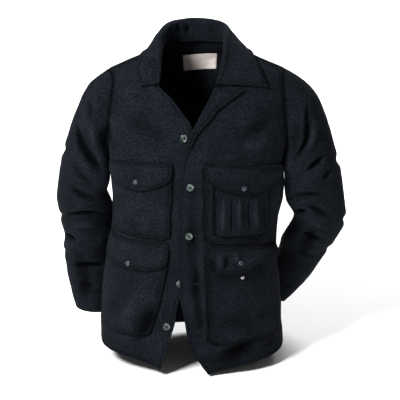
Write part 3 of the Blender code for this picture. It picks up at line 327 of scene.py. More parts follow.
class WoolSettings(bpy.types.PropertyGroup):
    """Finish of the heavy wool cloth."""

    colour: bpy.props.FloatVectorProperty(
        name="Wool", description="Near-black navy of the wool", subtype="COLOR",
        size=3, min=0, max=1, default=(0.0026, 0.0036, 0.0052),
    )
    fleck: bpy.props.FloatVectorProperty(
        name="Fleck", description="Colour of the paler fibres in the nap", subtype="COLOR",
        size=3, min=0, max=1, default=(0.0125, 0.0152, 0.0200),
    )
    nap: bpy.props.FloatProperty(
        name="Nap", description="Height of the felted nap", default=0.00045,
        min=0, max=0.002, unit="LENGTH",
    )
    twill: bpy.props.FloatProperty(
        name="Twill pitch", description="Distance from one twill rib to the next",
        default=0.0024, min=0.0005, max=0.01, unit="LENGTH",
    )
    crease: bpy.props.FloatProperty(
        name="Creases", description="Strength of the creases, 1 as pictured", default=1.5,
        min=0, max=2,
    )
    unevenness: bpy.props.FloatProperty(
        name="Unevenness", description="How far the thick cloth wanders from its form",
        default=0.0015, min=0, max=0.004, unit="LENGTH",
    )
    edge_round: bpy.props.FloatProperty(
        name="Edge rounding", description="Rounding of the folded edges", default=0.0007,
        min=0, max=0.0012, unit="LENGTH",
    )


class StitchSettings(bpy.types.PropertyGroup):
    """Thread and stitches."""

    length: bpy.props.FloatProperty(
        name="Stitch", description="Length of one stitch", default=0.0030, min=0.001,
        max=0.01, unit="LENGTH",
    )
    pitch: bpy.props.FloatProperty(
        name="Pitch", description="Distance from one stitch to the next", default=0.0038,
        min=0.001, max=0.01, unit="LENGTH",
    )
    thickness: bpy.props.FloatProperty(
        name="Thread", description="Thickness of the thread", default=0.0007,
        min=0.0002, max=0.002, unit="LENGTH",
    )
    pinch: bpy.props.FloatProperty(
        name="Pinch", description="How far a row of stitches pulls the wool in",
        default=0.0007, min=0, max=0.0015, unit="LENGTH",
    )
    colour: bpy.props.FloatVectorProperty(
        name="Thread colour", description="Colour of the thread", subtype="COLOR",
        size=3, min=0, max=1, default=(0.0060, 0.0078, 0.0120),
    )


class NotionSettings(bpy.types.PropertyGroup):
    """Buttons, snaps and the neck label."""

    horn_dark: bpy.props.FloatVectorProperty(
        name="Button dark", description="Dark part of the marbled button", subtype="COLOR",
        size=3, min=0, max=1, default=(0.010, 0.018, 0.016),
    )
    horn_pale: bpy.props.FloatVectorProperty(
        name="Button pale", description="Pale streaks of the marbled button", subtype="COLOR",
        size=3, min=0, max=1, default=(0.10, 0.15, 0.13),
    )
    metal: bpy.props.FloatVectorProperty(
        name="Snap", description="Dark metal of the snaps", subtype="COLOR",
        size=3, min=0, max=1, default=(0.085, 0.092, 0.112),
    )
    bright_metal: bpy.props.FloatVectorProperty(
        name="Stud", description="Bright metal of the open snap's stud", subtype="COLOR",
        size=3, min=0, max=1, default=(0.62, 0.62, 0.64),
    )
    label: bpy.props.FloatVectorProperty(
        name="Label", description="Cream of the woven neck label", subtype="COLOR",
        size=3, min=0, max=1, default=(0.95, 0.84, 0.79),
    )


class StageSettings(bpy.types.PropertyGroup):
    """Floor and light."""

    floor: bpy.props.FloatVectorProperty(
        name="Floor", description="Pale floor", subtype="COLOR", size=3, min=0, max=1,
        default=(0.95, 0.95, 0.95),
    )
    key: bpy.props.FloatProperty(
        name="Key light", description="Power of the soft light at the upper left",
        default=370.0, min=0, unit="POWER",
    )
    fill: bpy.props.FloatProperty(
        name="Fill light", description="Power of the weak light at the right", default=1.0,
        min=0, unit="POWER",
    )
    backdrop: bpy.props.FloatProperty(
        name="Backdrop light", description="Power of the light on the floor behind the jacket",
        default=260.0, min=0, unit="POWER",
    )
    world: bpy.props.FloatProperty(
        name="Room", description="Strength of the white room round the jacket", default=0.15,
        min=0,
    )


class Value:
    """A shader socket that can be used in Python expressions."""

    def __init__(self, tree, socket):
        self.tree, self.socket = tree, socket

    def math(self, operation, other, swap=False):
        pair = (other, self) if swap else (self, other)
        return self.tree.node("ShaderNodeMath", {"operation": operation}, {0: pair[0], 1: pair[1]})

    def __add__(self, other):
        return self.math("ADD", other)

    def __sub__(self, other):
        return self.math("SUBTRACT", other)

    def __rsub__(self, other):
        return self.math("SUBTRACT", other, swap=True)

    def __mul__(self, other):
        return self.math("MULTIPLY", other)

    def __truediv__(self, other):
        return self.math("DIVIDE", other)

    __radd__, __rmul__ = __add__, __mul__


class Shader:
    """A material with one Principled shader, and the nodes that feed it."""

    def __init__(self, name, **constants):
        self.material = bpy.data.materials.new(name)
        self.material.use_nodes = True
        self.nodes = self.material.node_tree.nodes
        self.links = self.material.node_tree.links
        self.surface = self.nodes["Principled BSDF"]
        for socket, value in constants.items():
            self.surface.inputs[socket.replace("_", " ")].default_value = value

    def put(self, socket, value):
        if isinstance(value, Value):
            self.links.new(value.socket, socket)
        else:
            socket.default_value = value

    def node(self, kind, settings=None, inputs=None, output=0):
        made = self.nodes.new(kind)
        for name, value in (settings or {}).items():
            if name == "stops":
                ramp = made.color_ramp
                for stop, (place, shade) in zip((ramp.elements[0], ramp.elements[1]), value):
                    stop.position, stop.color = place, (shade, shade, shade, 1)
            else:
                setattr(made, name, value)
        for name, value in (inputs or {}).items():
            self.put(made.inputs[name], value)
        return Value(self, made.outputs[output])

    def place(self, scale=(1, 1, 1), turn=(0, 0, 0)):
        """Points of the object itself, in metres, scaled and turned."""
        point = self.node("ShaderNodeTexCoord", output="Object")
        return self.node(
            "ShaderNodeMapping", inputs={"Vector": point, "Scale": scale, "Rotation": turn}
        )

    def noise(self, point, scale, detail=2.0, roughness=0.55):
        inputs = {"Vector": point, "Scale": scale, "Detail": detail, "Roughness": roughness}
        return self.node("ShaderNodeTexNoise", inputs=inputs)

    def attribute(self, name):
        return self.node("ShaderNodeAttribute", {"attribute_name": name}, output="Fac")

    def mix(self, share, a, b):
        made = self.nodes.new("ShaderNodeMix")
        made.data_type = "RGBA"
        colours = [s for s in made.inputs if s.type == "RGBA"]
        self.put(made.inputs[0], share)
        for socket, value in zip(colours, (a, b)):
            self.put(socket, (*value, 1) if isinstance(value, tuple) else value)
        return Value(self, [s for s in made.outputs if s.type == "RGBA"][0])

    def ramp(self, value, low, high):
        stops = ((low, 0.0), (high, 1.0))
        return self.node("ShaderNodeValToRGB", {"stops": stops}, {"Fac": value})

    def feed(self, **values):
        for name, value in values.items():
            self.put(self.surface.inputs[name.replace("_", " ")], value)

    def bump(self, height, distance):
        made = self.node("ShaderNodeBump", inputs={"Height": height, "Distance": distance})
        self.put(self.surface.inputs["Normal"], made)


def colour_of(value):
    return tuple(value[:3])


def finish(name, build):
    """The material of this name, built the first time that it is asked for."""
    found = bpy.data.materials.get(name)
    return found or build(name)


def wool_material(name="wool_cloth"):
    """Fulled wool: a felted nap over faint twill ribs, mottled at random, with painted shade in crease troughs,
    along stitch rows and edges and under laid-on pieces, and painted light on crease ridges.
    """
    wool = bpy.context.scene.jacket_wool
    made = Shader(
        name, Roughness=0.96, Specular_IOR_Level=0.03, Sheen_Weight=0.008, Sheen_Roughness=0.5,
        Sheen_Tint=(0.80, 0.88, 1.0, 1.0),
    )
    point = made.place()
    clumps = made.noise(point, 520.0, 3.0, 0.62)
    fibres = made.noise(made.place((1.0, 1.0, 0.45), (0.0, 0.7, 0.0)), 1500.0, 2.0, 0.6)
    patches = made.noise(point, 26.0, 3.0, 0.5)
    mottle = made.ramp(made.noise(point, 300.0, 2.0, 0.6), 0.34, 0.66)
    ribs = made.node(
        "ShaderNodeTexWave",
        {"wave_type": "BANDS", "bands_direction": "DIAGONAL", "wave_profile": "SIN"},
        {
            "Vector": made.place((1.0, 0.35, 1.0)),
            "Scale": math.pi / wool.twill / 20,
            "Distortion": 2.4,
            "Detail": 2.0,
            "Detail Scale": 3.0,
        },
        output="Fac",
    )
    seam = made.attribute("seam")
    edge = made.attribute("edge")
    fleck = made.ramp(clumps * 0.55 + fibres * 0.45, 0.44, 0.68)
    share = fleck * 0.50 + mottle * 0.40
    shade = made.mix(share, colour_of(wool.colour), colour_of(wool.fleck))
    worn = 0.34 + patches * 0.50 + mottle * 0.84
    # Painted shade: darker in crease troughs and lighter on crease ridges, and a painted contact shadow near the
    # edges of the pieces laid on top
    painted_shade = (1 - made.attribute("hollow") * 0.86) * (1 - made.attribute("under") * 0.92)
    # Painted shade along the stitch rows and along every edge of the piece
    tone = worn * painted_shade * (1 - seam * 0.58) * (1 - edge * 0.40)
    dim = made.node("ShaderNodeCombineXYZ", inputs={0: tone, 1: tone, 2: tone})
    tinted = made.node(
        "ShaderNodeVectorMath", {"operation": "MULTIPLY"}, {0: shade, 1: dim}
    )
    made.feed(Base_Color=tinted)
    made.bump(clumps * 0.55 + fibres * 0.3 + ribs * 0.22 - seam * 0.5, wool.nap)
    return made.material


def thread_material(name="thread"):
    stitch = bpy.context.scene.jacket_stitch
    made = Shader(name, Roughness=0.7, Specular_IOR_Level=0.12, Sheen_Weight=0.005)
    twist = made.node(
        "ShaderNodeTexWave",
        {"wave_type": "BANDS", "bands_direction": "DIAGONAL"},
        {"Vector": made.place(), "Scale": 260.0, "Distortion": 1.0},
        output="Fac",
    )
    dark = tuple(c * 0.55 for c in colour_of(stitch.colour))
    made.feed(Base_Color=made.mix(twist, dark, colour_of(stitch.colour)))
    made.bump(twist, 0.00012)
    return made.material


def horn_material(name="marbled_horn"):
    """Marbled dark green horn, polished, with pale clouds drawn out in streaks."""
    notion = bpy.context.scene.jacket_notion
    made = Shader(name, Coat_Weight=0.4, Coat_Roughness=0.12, Specular_IOR_Level=0.5)
    clouds = made.noise(made.place((1.0, 1.0, 2.2), (0.0, 0.0, 0.5)), 210.0, 4.0, 0.62)
    veins = made.node(
        "ShaderNodeTexWave",
        {"wave_type": "BANDS", "bands_direction": "DIAGONAL"},
        {"Vector": made.place(), "Scale": 34.0, "Distortion": 9.0, "Detail": 3.0},
        output="Fac",
    )
    pale = made.ramp(clouds * 0.6 + veins * 0.4, 0.50, 0.78)
    made.feed(
        Base_Color=made.mix(pale, colour_of(notion.horn_dark), colour_of(notion.horn_pale)),
        Roughness=0.22 + clouds * 0.18,
    )
    made.bump(clouds, 0.00005)
    return made.material


def metal_material(name, colour, roughness):
    """Plated metal, rubbed in fine scratches."""
    made = Shader(name, Metallic=1.0)
    rubbed = made.noise(made.place((1.0, 1.0, 6.0)), 900.0, 3.0, 0.6)
    dull = made.noise(made.place(), 160.0, 2.0)
    dark = tuple(c * 0.6 for c in colour)
    made.feed(
        Base_Color=made.mix(made.ramp(dull, 0.35, 0.65), dark, colour),
        Roughness=roughness + rubbed * 0.18,
    )
    made.bump(rubbed, 0.00003)
    return made.material


def snap_material(name="snap_metal"):
    return metal_material(name, colour_of(bpy.context.scene.jacket_notion.metal), 0.28)


def stud_material(name="stud_metal"):
    return metal_material(name, colour_of(bpy.context.scene.jacket_notion.bright_metal), 0.2)


def label_material(name="woven_label"):
    """Blank woven ribbon: fine warp and weft, with painted shade along its stitched edge."""
    notion = bpy.context.scene.jacket_notion
    made = Shader(name, Roughness=0.78, Specular_IOR_Level=0.25, Sheen_Weight=0.1)
    threads = []
    for direction in ("X", "Z"):
        settings = {"wave_type": "BANDS", "bands_direction": direction}
        inputs = {"Vector": made.place(), "Scale": 330.0, "Distortion": 0.6, "Detail": 1.0}
        threads.append(made.node("ShaderNodeTexWave", settings, inputs, output="Fac"))
    weave = threads[0] * 0.5 + threads[1] * 0.5
    soft = made.noise(made.place(), 60.0, 2.0)
    pale = colour_of(notion.label)
    dark = tuple(c * 0.72 for c in pale)
    # Painted shade along the stitch row near the label's edge
    share = weave * 0.35 + soft * 0.35 + 0.4 - made.attribute("seam") * 0.4
    made.feed(Base_Color=made.mix(share, dark, pale))
    made.bump(weave, 0.00018)
    return made.material


def floor_material(name="pale_floor"):
    stage = bpy.context.scene.jacket_stage
    made = Shader(name, Specular_IOR_Level=0.0, Roughness=0.9)
    grain = made.noise(made.place(), 2.0, 2.0)
    pale = colour_of(stage.floor)
    made.feed(Base_Color=made.mix(grain, tuple(c * 0.985 for c in pale), pale))
    return made.material


def choose(piece):
    """Makes this the only selected object, and the active one."""
    bpy.ops.object.select_all(action="DESELECT")
    piece.select_set(True)
    bpy.context.view_layer.objects.active = piece


def apply_modifier(piece, kind, **settings):
    choose(piece)
    modifier = piece.modifiers.new(kind.title(), kind)
    for name, value in settings.items():
        setattr(modifier, name, value)
    bpy.ops.object.modifier_apply(modifier=modifier.name)


def points_of(mesh):
    points = np.empty(len(mesh.vertices) * 3, np.float32)
    mesh.vertices.foreach_get("co", points)
    return points.reshape(-1, 3).astype(np.float64)


def normals_of(mesh):
    normals = np.empty(len(mesh.vertices) * 3, np.float32)
    mesh.vertices.foreach_get("normal", normals)
    return normals.reshape(-1, 3).astype(np.float64)


def set_points(mesh, points):
    mesh.vertices.foreach_set("co", points.astype(np.float32).ravel())
    mesh.update()


def sharp_edges(mesh):
    """Indices of the ends of each edge that turns more sharply than SHARP."""
    body = bmesh.new()
    body.from_mesh(mesh)
    found = [
        (e.index, e.verts[0].index, e.verts[1].index)
        for e in body.edges
        if len(e.link_faces) == 2 and e.calc_face_angle(0) > SHARP
    ]
    body.free()
    return np.array(found, int).reshape(-1, 3)


def cloth_tree():
    """Search tree over all cloth solids, to find where a line of sight meets the jacket."""
    points, faces = [], []
    for name in CLOTHS:
        mesh = frame["nodes"][name].data
        start = len(points)
        points += [v.co.copy() for v in mesh.vertices]
        faces += [tuple(start + v for v in p.vertices) for p in mesh.polygons]
    return bvhtree.BVHTree.FromPolygons(points, faces)


def seen(tree, side, a, b):
    """The cloth's point and outward normal at (a, b) in millimetres, seen from one side."""
    view = SIDES[side]
    point, normal, _, _ = tree.ray_cast(Vector(view.start(a * MM, b * MM)), Vector(view.direction))
    if point is None:
        raise ValueError(f"nothing is seen from the {side} at {a}, {b}")
    if normal.dot(Vector(view.direction)) > 0:
        normal = -normal
    return np.array(point), np.array(normal)


def curve_through(points, steps):
    """Evenly spaced places on a smooth line through points."""
    points = np.array(points, float)
    spans = len(points) - 1
    made = []
    for at in np.linspace(0, spans, steps):
        k = min(int(at), spans - 1)
        u = at - k
        before, after = points[max(k - 1, 0)], points[min(k + 2, spans)]
        here, there = points[k], points[k + 1]
        made.append(
            0.5 * (2 * here + (there - before) * u
                   + (2 * before - 5 * here + 4 * there - after) * u * u
                   + (3 * here - before - 3 * there + after) * u ** 3)
        )
    return made


def eased(value):
    value = np.clip(value, 0, 1)
    return value * value * (3 - 2 * value)


class Drape:
    """Every crease as one smooth push of the space round the jacket, so layers move together."""

    def __init__(self):
        tree = cloth_tree()
        self.creases = []
        for fold in FOLDS:
            found = [seen(tree, fold.side, *p) for p in curve_through(fold.points, FOLD_STEPS)]
            line = np.array([point for point, _ in found])
            normal = np.array([n for _, n in found]).mean(axis=0)
            normal /= np.linalg.norm(normal)
            self.creases.append((fold, line, normal))
        chance = np.random.default_rng(7)
        self.waves = []
        for length, share in ((0.110, 1.0), (0.062, 0.55), (0.034, 0.28), (0.019, 0.12)):
            for _ in range(5):
                direction, push = chance.normal(size=3), chance.normal(size=3)
                wave = direction / np.linalg.norm(direction) * 2 * math.pi / length
                push /= np.linalg.norm(push)
                self.waves.append((wave, push * share / 2, chance.uniform(0, 2 * math.pi)))

    def moved(self, points):
        wool = bpy.context.scene.jacket_wool
        shift = np.zeros_like(points)
        for wave, push, phase in self.waves:
            shift += np.sin(points @ wave + phase)[:, None] * push * wool.unevenness
        for fold, line, normal in self.creases:
            width, reach = fold.width * MM, fold.width * MM * 2.6
            low, high = line.min(axis=0) - reach, line.max(axis=0) + reach
            near = np.flatnonzero(((points > low) & (points < high)).all(axis=1))
            if not len(near):
                continue
            here = points[near]
            distance = np.full(len(near), 1e9)
            share = np.zeros(len(near))
            for k in range(len(line) - 1):
                start, along = line[k], line[k + 1] - line[k]
                t = np.clip((here - start) @ along / (along @ along), 0, 1)
                gap = np.linalg.norm(here - start - t[:, None] * along, axis=1)
                closer = gap < distance
                distance[closer] = gap[closer]
                share[closer] = (k + t[closer]) / (len(line) - 1)
            ends = eased(np.minimum(share, 1 - share) / FOLD_END)
            across = (distance / (width * (TAPER + (1 - TAPER) * ends))) ** 2
            depth = np.exp(-across) * (1 - across) * ends * fold.depth * MM * wool.crease
            shift[near] -= depth[:, None] * normal
        for draw in DRAWN_IN:
            away = points - np.array(draw.middle) * MM
            away[:, 0] -= away[:, 2] * draw.slope
            x, y, z = (away / MM / draw.reach).T
            shift[:, 0] -= away[:, 0] * np.exp(-x * x - y * y - z ** 4) * draw.share
        return points + shift


class Workroom:
    """What the operators share: the drape, and the edges of the cloth pieces made so far."""

    drape = None
    rims = {}
    solid_rims = {}


def drape():
    if Workroom.drape is None:
        Workroom.drape = Drape()
    return Workroom.drape


def outward(name, points):
    """Direction out of the jacket or sleeve at each point, used to tell outer face from inner."""
    if name.startswith("sleeve"):
        axis = np.array(SLEEVE_AXES[name]) * MM
        middle = np.stack(
            [np.interp(-points[:, 2], -axis[:, 2], axis[:, k]) for k in range(3)], axis=1
        )
    else:
        middle = points * np.array([0.55, 0.0, 1.0])
        middle[:, 1] = 0.02
    away = points - middle
    return away / np.maximum(np.linalg.norm(away, axis=1, keepdims=True), 1e-9)


def rim_tree(points, edges):
    """Search tree of places a millimetre apart along edges."""
    places = []
    for a, b in edges:
        start, end = points[a], points[b]
        steps = max(2, int(np.linalg.norm(end - start) / MM))
        places += [start + (end - start) * k / steps for k in range(steps)]
    tree = kdtree.KDTree(len(places))
    for k, place in enumerate(places):
        tree.insert(place, k)
    tree.balance()
    return tree


def rim_distance(tree, points):
    return np.array([tree.find(p)[2] for p in points])


def solid_rim(name):
    """Search tree along the sharp edges of a node's solid, moved with the drape."""
    if name not in Workroom.solid_rims:
        body = bmesh.new()
        body.from_mesh(frame["nodes"][name].data)
        bmesh.ops.remove_doubles(body, verts=body.verts, dist=MERGE)
        mesh = bpy.data.meshes.new("merged")
        body.to_mesh(mesh)
        body.free()
        Workroom.solid_rims[name] = rim_tree(drape().moved(points_of(mesh)), sharp_edges(mesh)[:, 1:])
        bpy.data.meshes.remove(mesh)
    return Workroom.solid_rims[name]


def shadow_of_laid_on(node, points):
    """Strength of the painted contact shadow at each point, from 0 to 1: how near it is to the edges of the
    pieces that lie on this one.
    """
    shadow = np.zeros(len(points))
    for name, cloth in CLOTHS.items():
        if node in cloth.rests_on and name != "neck_label":
            gap = np.maximum(rim_distance(solid_rim(name), points) - SHADOW_GAP, 0)
            strength = ARMHOLE_SHADOW if name.startswith("sleeve") else 1
            shadow = np.maximum(shadow, np.exp(-gap / SHADOW_FADE) * strength)
    return shadow


def write_attribute(mesh, name, values):
    made = mesh.attributes.new(name, "FLOAT", "POINT")
    made.data.foreach_set("value", values.astype(np.float32))


def dress_cloth(node, material):
    """One cloth piece: a smooth shell on its solid's form, creased, pinched in at its stitches."""
    cloth = CLOTHS[node]
    wool, stitch = bpy.context.scene.jacket_wool, bpy.context.scene.jacket_stitch
    mesh = frame["nodes"][node].data.copy()
    mesh.name = node + "_cloth"
    piece = bpy.data.objects.new(node + "_cloth", mesh)
    bpy.context.scene.collection.objects.link(piece)
    choose(piece)
    bpy.ops.object.mode_set(mode="EDIT")
    bpy.ops.mesh.select_all(action="SELECT")
    bpy.ops.mesh.remove_doubles(threshold=MERGE)
    bpy.ops.mesh.customdata_custom_splitnormals_clear()
    bpy.ops.mesh.tris_convert_to_quads(
        face_threshold=math.radians(50), shape_threshold=math.radians(70)
    )
    bpy.ops.object.mode_set(mode="OBJECT")
    mesh = piece.data
    crease = mesh.attributes.new("crease_edge", "FLOAT", "EDGE")
    for index, _, _ in sharp_edges(mesh):
        crease.data[index].value = 1.0
    apply_modifier(piece, "SUBSURF", levels=cloth.level, render_levels=cloth.level)
    mesh = piece.data
    edges = sharp_edges(mesh)
    points = drape().moved(points_of(mesh))
    # How far each point sank in the drape: painted shade in troughs where positive, painted light on ridges
    # where negative
    painted_shade = np.sum((points_of(mesh) - points) * normals_of(mesh), axis=1) / FOLD_SHADE_DEPTH
    set_points(mesh, points)
    normals = normals_of(mesh)
    rim = rim_tree(points, edges[:, 1:])
    Workroom.rims[node] = rim
    distance = rim_distance(rim, points)
    seam = np.zeros(len(points))
    for row in ROWS:
        if row.node == node:
            inside = ((points / MM > row.low) & (points / MM < row.high)).all(axis=1)
            gap = (distance - row.inset * MM) / (2.2 * MM)
            seam = np.maximum(seam, np.exp(-gap * gap) * inside)
    outer = np.sum(normals * outward(node, points), axis=1) > 0.1
    if node == "collar":
        outer[:] = True
    seam = np.where(outer, seam, 0)
    set_points(mesh, points - normals * (seam * stitch.pinch)[:, None])
    # Painted shade and light of the creases, on the outer face only
    write_attribute(mesh, "hollow", np.where(outer, np.clip(painted_shade, -1, 1), 0))
    # Painted contact shadow near the edges of the pieces laid on this one
    write_attribute(mesh, "under", shadow_of_laid_on(node, points))
    # Nearness to the stitch rows: it pinches the wool in, and the wool's colour is darkened there as painted
    # shade
    write_attribute(mesh, "seam", seam)
    # Nearness to the piece's edges, where the wool's colour is darkened as painted shade
    write_attribute(mesh, "edge", np.exp(-distance / (1.6 * MM)))
    if wool.edge_round > 0:
        width = wool.edge_round if node != "neck_label" else 0.0002
        apply_modifier(
            piece, "BEVEL", width=width, segments=2, limit_method="ANGLE", angle_limit=SHARP,
        )
    piece.data.shade_smooth()
    piece.data.materials.clear()
    piece.data.materials.append(material)
    settle_in(piece, node)
    return piece


def settle_in(piece, *nodes, slot=None):
    """The piece rides on the body and stands for its nodes, which it hides."""
    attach(piece, BODY)
    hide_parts(*nodes)


def level_lines(piece, values, level):
    """Lines on a mesh where a value of its points passes a level, as arrays of points."""
    mesh = piece.data
    mesh.calc_loop_triangles()
    corners = np.empty(len(mesh.loop_triangles) * 3, np.int32)
    mesh.loop_triangles.foreach_get("vertices", corners)
    corners = corners.reshape(-1, 3)
    points = points_of(mesh)
    above = values > level
    count = above[corners].sum(axis=1)
    ends, places = {}, {}
    for triangle in corners[(count > 0) & (count < 3)]:
        crossed = []
        for a, b in ((0, 1), (1, 2), (2, 0)):
            i, j = sorted((int(triangle[a]), int(triangle[b])))
            if above[i] != above[j]:
                share = (level - values[i]) / (values[j] - values[i])
                places[i, j] = points[i] + (points[j] - points[i]) * share
                crossed.append((i, j))
        for here, there in (crossed, crossed[::-1]):
            ends.setdefault(here, []).append(there)
    lines = []
    while ends:
        start = next((k for k, v in ends.items() if len(v) == 1), next(iter(ends)))
        line = [start]
        while True:
            options = [k for k in ends.get(line[-1], []) if len(line) < 2 or k != line[-2]]
            options = [k for k in options if k in ends]
            ends.pop(line[-1], None)
            if not options:
                break
            line.append(options[0])
        lines.append(np.array([places[k] for k in line]))
    return [line for line in lines if len(line) > 3]


def spaced(line, step):
    """Places along a line at equal steps, and the line's direction at each."""
    lengths = np.concatenate([[0], np.cumsum(np.linalg.norm(np.diff(line, axis=0), axis=1))])
    count = int(lengths[-1] / step)
    at = (np.arange(count) + 0.5) * step
    places = np.stack([np.interp(at, lengths, line[:, k]) for k in range(3)], axis=1)
    ahead = np.stack([np.interp(at + step / 3, lengths, line[:, k]) for k in range(3)], axis=1)
    behind = np.stack([np.interp(at - step / 3, lengths, line[:, k]) for k in range(3)], axis=1)
    return places, ahead - behind


def model_stitch():
    """One stitch along X: a short thread, thickest in its middle, ends pulled down into the wool."""
    stitch = bpy.context.scene.jacket_stitch
    bpy.ops.object.select_all(action="DESELECT")
    bpy.ops.mesh.primitive_uv_sphere_add(segments=6, ring_count=5, radius=0.5)
    piece = bpy.context.object
    bpy.ops.object.mode_set(mode="EDIT")
    bpy.ops.mesh.select_all(action="SELECT")
    bpy.ops.transform.rotate(value=math.pi / 2, orient_axis="Y", center_override=(0, 0, 0))
    bpy.ops.transform.resize(
        value=(stitch.length, stitch.thickness, stitch.thickness * 0.8), center_override=(0, 0, 0)
    )
    bpy.ops.object.mode_set(mode="OBJECT")
    mesh = piece.data
    for vertex in mesh.vertices:
        vertex.co.z -= stitch.thickness * (2 * vertex.co.x / stitch.length) ** 2 * 0.6
    bpy.data.objects.remove(piece)
    return mesh


def sew(name, runs, stitch_mesh):
    """Copies of a stitch, one at each (place, direction, normal), as one piece."""
    body = bmesh.new()
    for place, direction, normal in runs:
        along = Vector(direction).normalized()
        up = Vector(normal)
        up = (up - along * up.dot(along)).normalized()
        side = up.cross(along)
        turn = Matrix((along, side, up)).transposed().to_4x4()
        start = len(body.verts)
        body.from_mesh(stitch_mesh)
        body.verts.ensure_lookup_table()
        new = body.verts[start:]
        bmesh.ops.transform(body, matrix=Matrix.Translation(place) @ turn, verts=new)
    mesh = bpy.data.meshes.new(name)
    body.to_mesh(mesh)
    body.free()
    mesh.shade_smooth()
    mesh.materials.append(finish("thread", thread_material))
    piece = bpy.data.objects.new(name, mesh)
    bpy.context.scene.collection.objects.link(piece)
    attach(piece, BODY)
    return piece


def surface_tree(piece):
    return bvhtree.BVHTree.FromObject(piece, bpy.context.evaluated_depsgraph_get())


def runs_on(piece, line, pitch):
    """Places, directions and normals of stitches along a line that lies on a piece."""
    tree = surface_tree(piece)
    runs = []
    for place, direction in zip(*spaced(line, pitch)):
        point, normal, _, _ = tree.find_nearest(Vector(place))
        runs.append((point + normal * 0.0001, direction, normal))
    return runs


def topstitch(node, stitch_mesh):
    """All rows of stitching that follow the edges of one cloth piece."""
    piece = bpy.data.objects[node + "_cloth"]
    pitch = bpy.context.scene.jacket_stitch.pitch
    distance = rim_distance(Workroom.rims[node], points_of(piece.data))
    runs = []
    for row in (r for r in ROWS if r.node == node):
        for line in level_lines(piece, distance, row.inset * MM):
            places = line / MM
            line = line[((places > row.low) & (places < row.high)).all(axis=1)]
            if len(line) < 4:
                continue
            made = runs_on(piece, line, pitch)
            if node != "collar" and node != "neck_label":
                out = outward(node, np.array([p for p, _, _ in made]).reshape(-1, 3))
                made = [r for r, o in zip(made, out) if r[2].dot(Vector(o)) > 0.1]
            runs += made
    return sew(node + "_topstitching", runs, stitch_mesh)


def dressed_tree():
    """Search tree over all dressed cloth pieces."""
    points, faces = [], []
    for name in CLOTHS:
        piece = bpy.data.objects.get(name + "_cloth")
        if piece is None:
            raise RuntimeError(f"{name} has to be dressed before what lies on it")
        start = len(points)
        points += [v.co.copy() for v in piece.data.vertices]
        faces += [tuple(start + v for v in p.vertices) for p in piece.data.polygons]
    return bvhtree.BVHTree.FromPolygons(points, faces)


def turned_piece(name, profile, material):
    """A round piece turned about Z from a profile, with its seat at the origin."""
    mesh = bpy.data.meshes.new(name)
    body = bmesh.new()
    points = [body.verts.new((r * MM, 0, z * MM)) for r, z in profile]
    for a, b in zip(points, points[1:]):
        body.edges.new((a, b))
    body.to_mesh(mesh)
    body.free()
    piece = bpy.data.objects.new(name, mesh)
    bpy.context.scene.collection.objects.link(piece)
    choose(piece)
    bpy.ops.object.mode_set(mode="EDIT")
    bpy.ops.mesh.select_all(action="SELECT")
    bpy.ops.mesh.spin(
        steps=TURN_STEPS, angle=2 * math.pi, center=(0, 0, 0), axis=(0, 0, 1), use_auto_merge=True
    )
    bpy.ops.mesh.select_all(action="SELECT")
    bpy.ops.mesh.remove_doubles(threshold=0.00001)
    bpy.ops.mesh.normals_make_consistent(inside=False)
    bpy.ops.object.mode_set(mode="OBJECT")
    piece.data.shade_smooth()
    piece.data.materials.append(material)
    return piece


def drill(piece, places, radius, depth):
    """Round holes through a piece, each cut by a short rod."""
    for x, y in places:
        bpy.ops.object.select_all(action="DESELECT")
        bpy.ops.mesh.primitive_cylinder_add(
            vertices=20, radius=radius, depth=depth, location=(x, y, depth / 4)
        )
        rod = bpy.context.object
        apply_modifier(piece, "BOOLEAN", operation="DIFFERENCE", object=rod, solver="EXACT")
        bpy.data.objects.remove(rod)


def seat_of(node):
    """Where a notion sits: its middle, moved with the cloth, and the way that it faces."""
    points = np.array([v.co for v in frame["nodes"][node].data.vertices], float)
    middle = (points.min(axis=0) + points.max(axis=0)) / 2
    spread = np.linalg.eigh(np.cov((points - points.mean(axis=0)).T))
    normal = spread[1][:, 0]
    if normal[1] > 0:
        normal = -normal
    along = (points - middle) @ normal
    base = middle + normal * along.min()
    return drape().moved(base[None, :])[0], normal


def place_on_seat(piece, node, turn=0.0):
    base, normal = seat_of(node)
    up = Vector(normal)
    matrix = up.to_track_quat("Z", "X").to_matrix().to_4x4()
    piece.data.transform(Matrix.Translation(base) @ matrix @ Matrix.Rotation(turn, 4, "Z"))
    piece.data.update()


def copy_piece(piece, name):
    copy = bpy.data.objects.new(name, piece.data.copy())
    bpy.context.scene.collection.objects.link(copy)
    return copy


class JACKET_OT_body(bpy.types.Operator):
    """Dress the two fronts and the back"""

    bl_idname = "jacket.body"
    bl_label = "Fronts and back"

    def execute(self, context):
        for node in ("back", "front_left", "front_right"):
            dress_cloth(node, finish("wool_cloth", wool_material))
        return {"FINISHED"}


class JACKET_OT_sleeves(bpy.types.Operator):
    """Dress the two sleeves with their turned-up cuffs"""

    bl_idname = "jacket.sleeves"
    bl_label = "Sleeves"

    def execute(self, context):
        for node in ("sleeve_left", "sleeve_right"):
            dress_cloth(node, finish("wool_cloth", wool_material))
        return {"FINISHED"}


class JACKET_OT_collar(bpy.types.Operator):
    """Dress the turned-down collar and the lapel"""

    bl_idname = "jacket.collar"
    bl_label = "Collar and lapel"

    def execute(self, context):
        for node in ("collar", "facing_left"):
            dress_cloth(node, finish("wool_cloth", wool_material))
        return {"FINISHED"}


class JACKET_OT_pockets(bpy.types.Operator):
    """Dress the patch pockets, the pencil pocket and their flaps"""

    bl_idname = "jacket.pockets"
    bl_label = "Pockets and flaps"

    def execute(self, context):
        for node in CLOTHS:
            if "pocket" in node or "flap" in node:
                dress_cloth(node, finish("wool_cloth", wool_material))
        return {"FINISHED"}


class JACKET_OT_label(bpy.types.Operator):
    """Dress the blank woven label inside the back of the neck"""

    bl_idname = "jacket.label"
    bl_label = "Neck label"

    def execute(self, context):
        dress_cloth("neck_label", finish("woven_label", label_material))
        return {"FINISHED"}


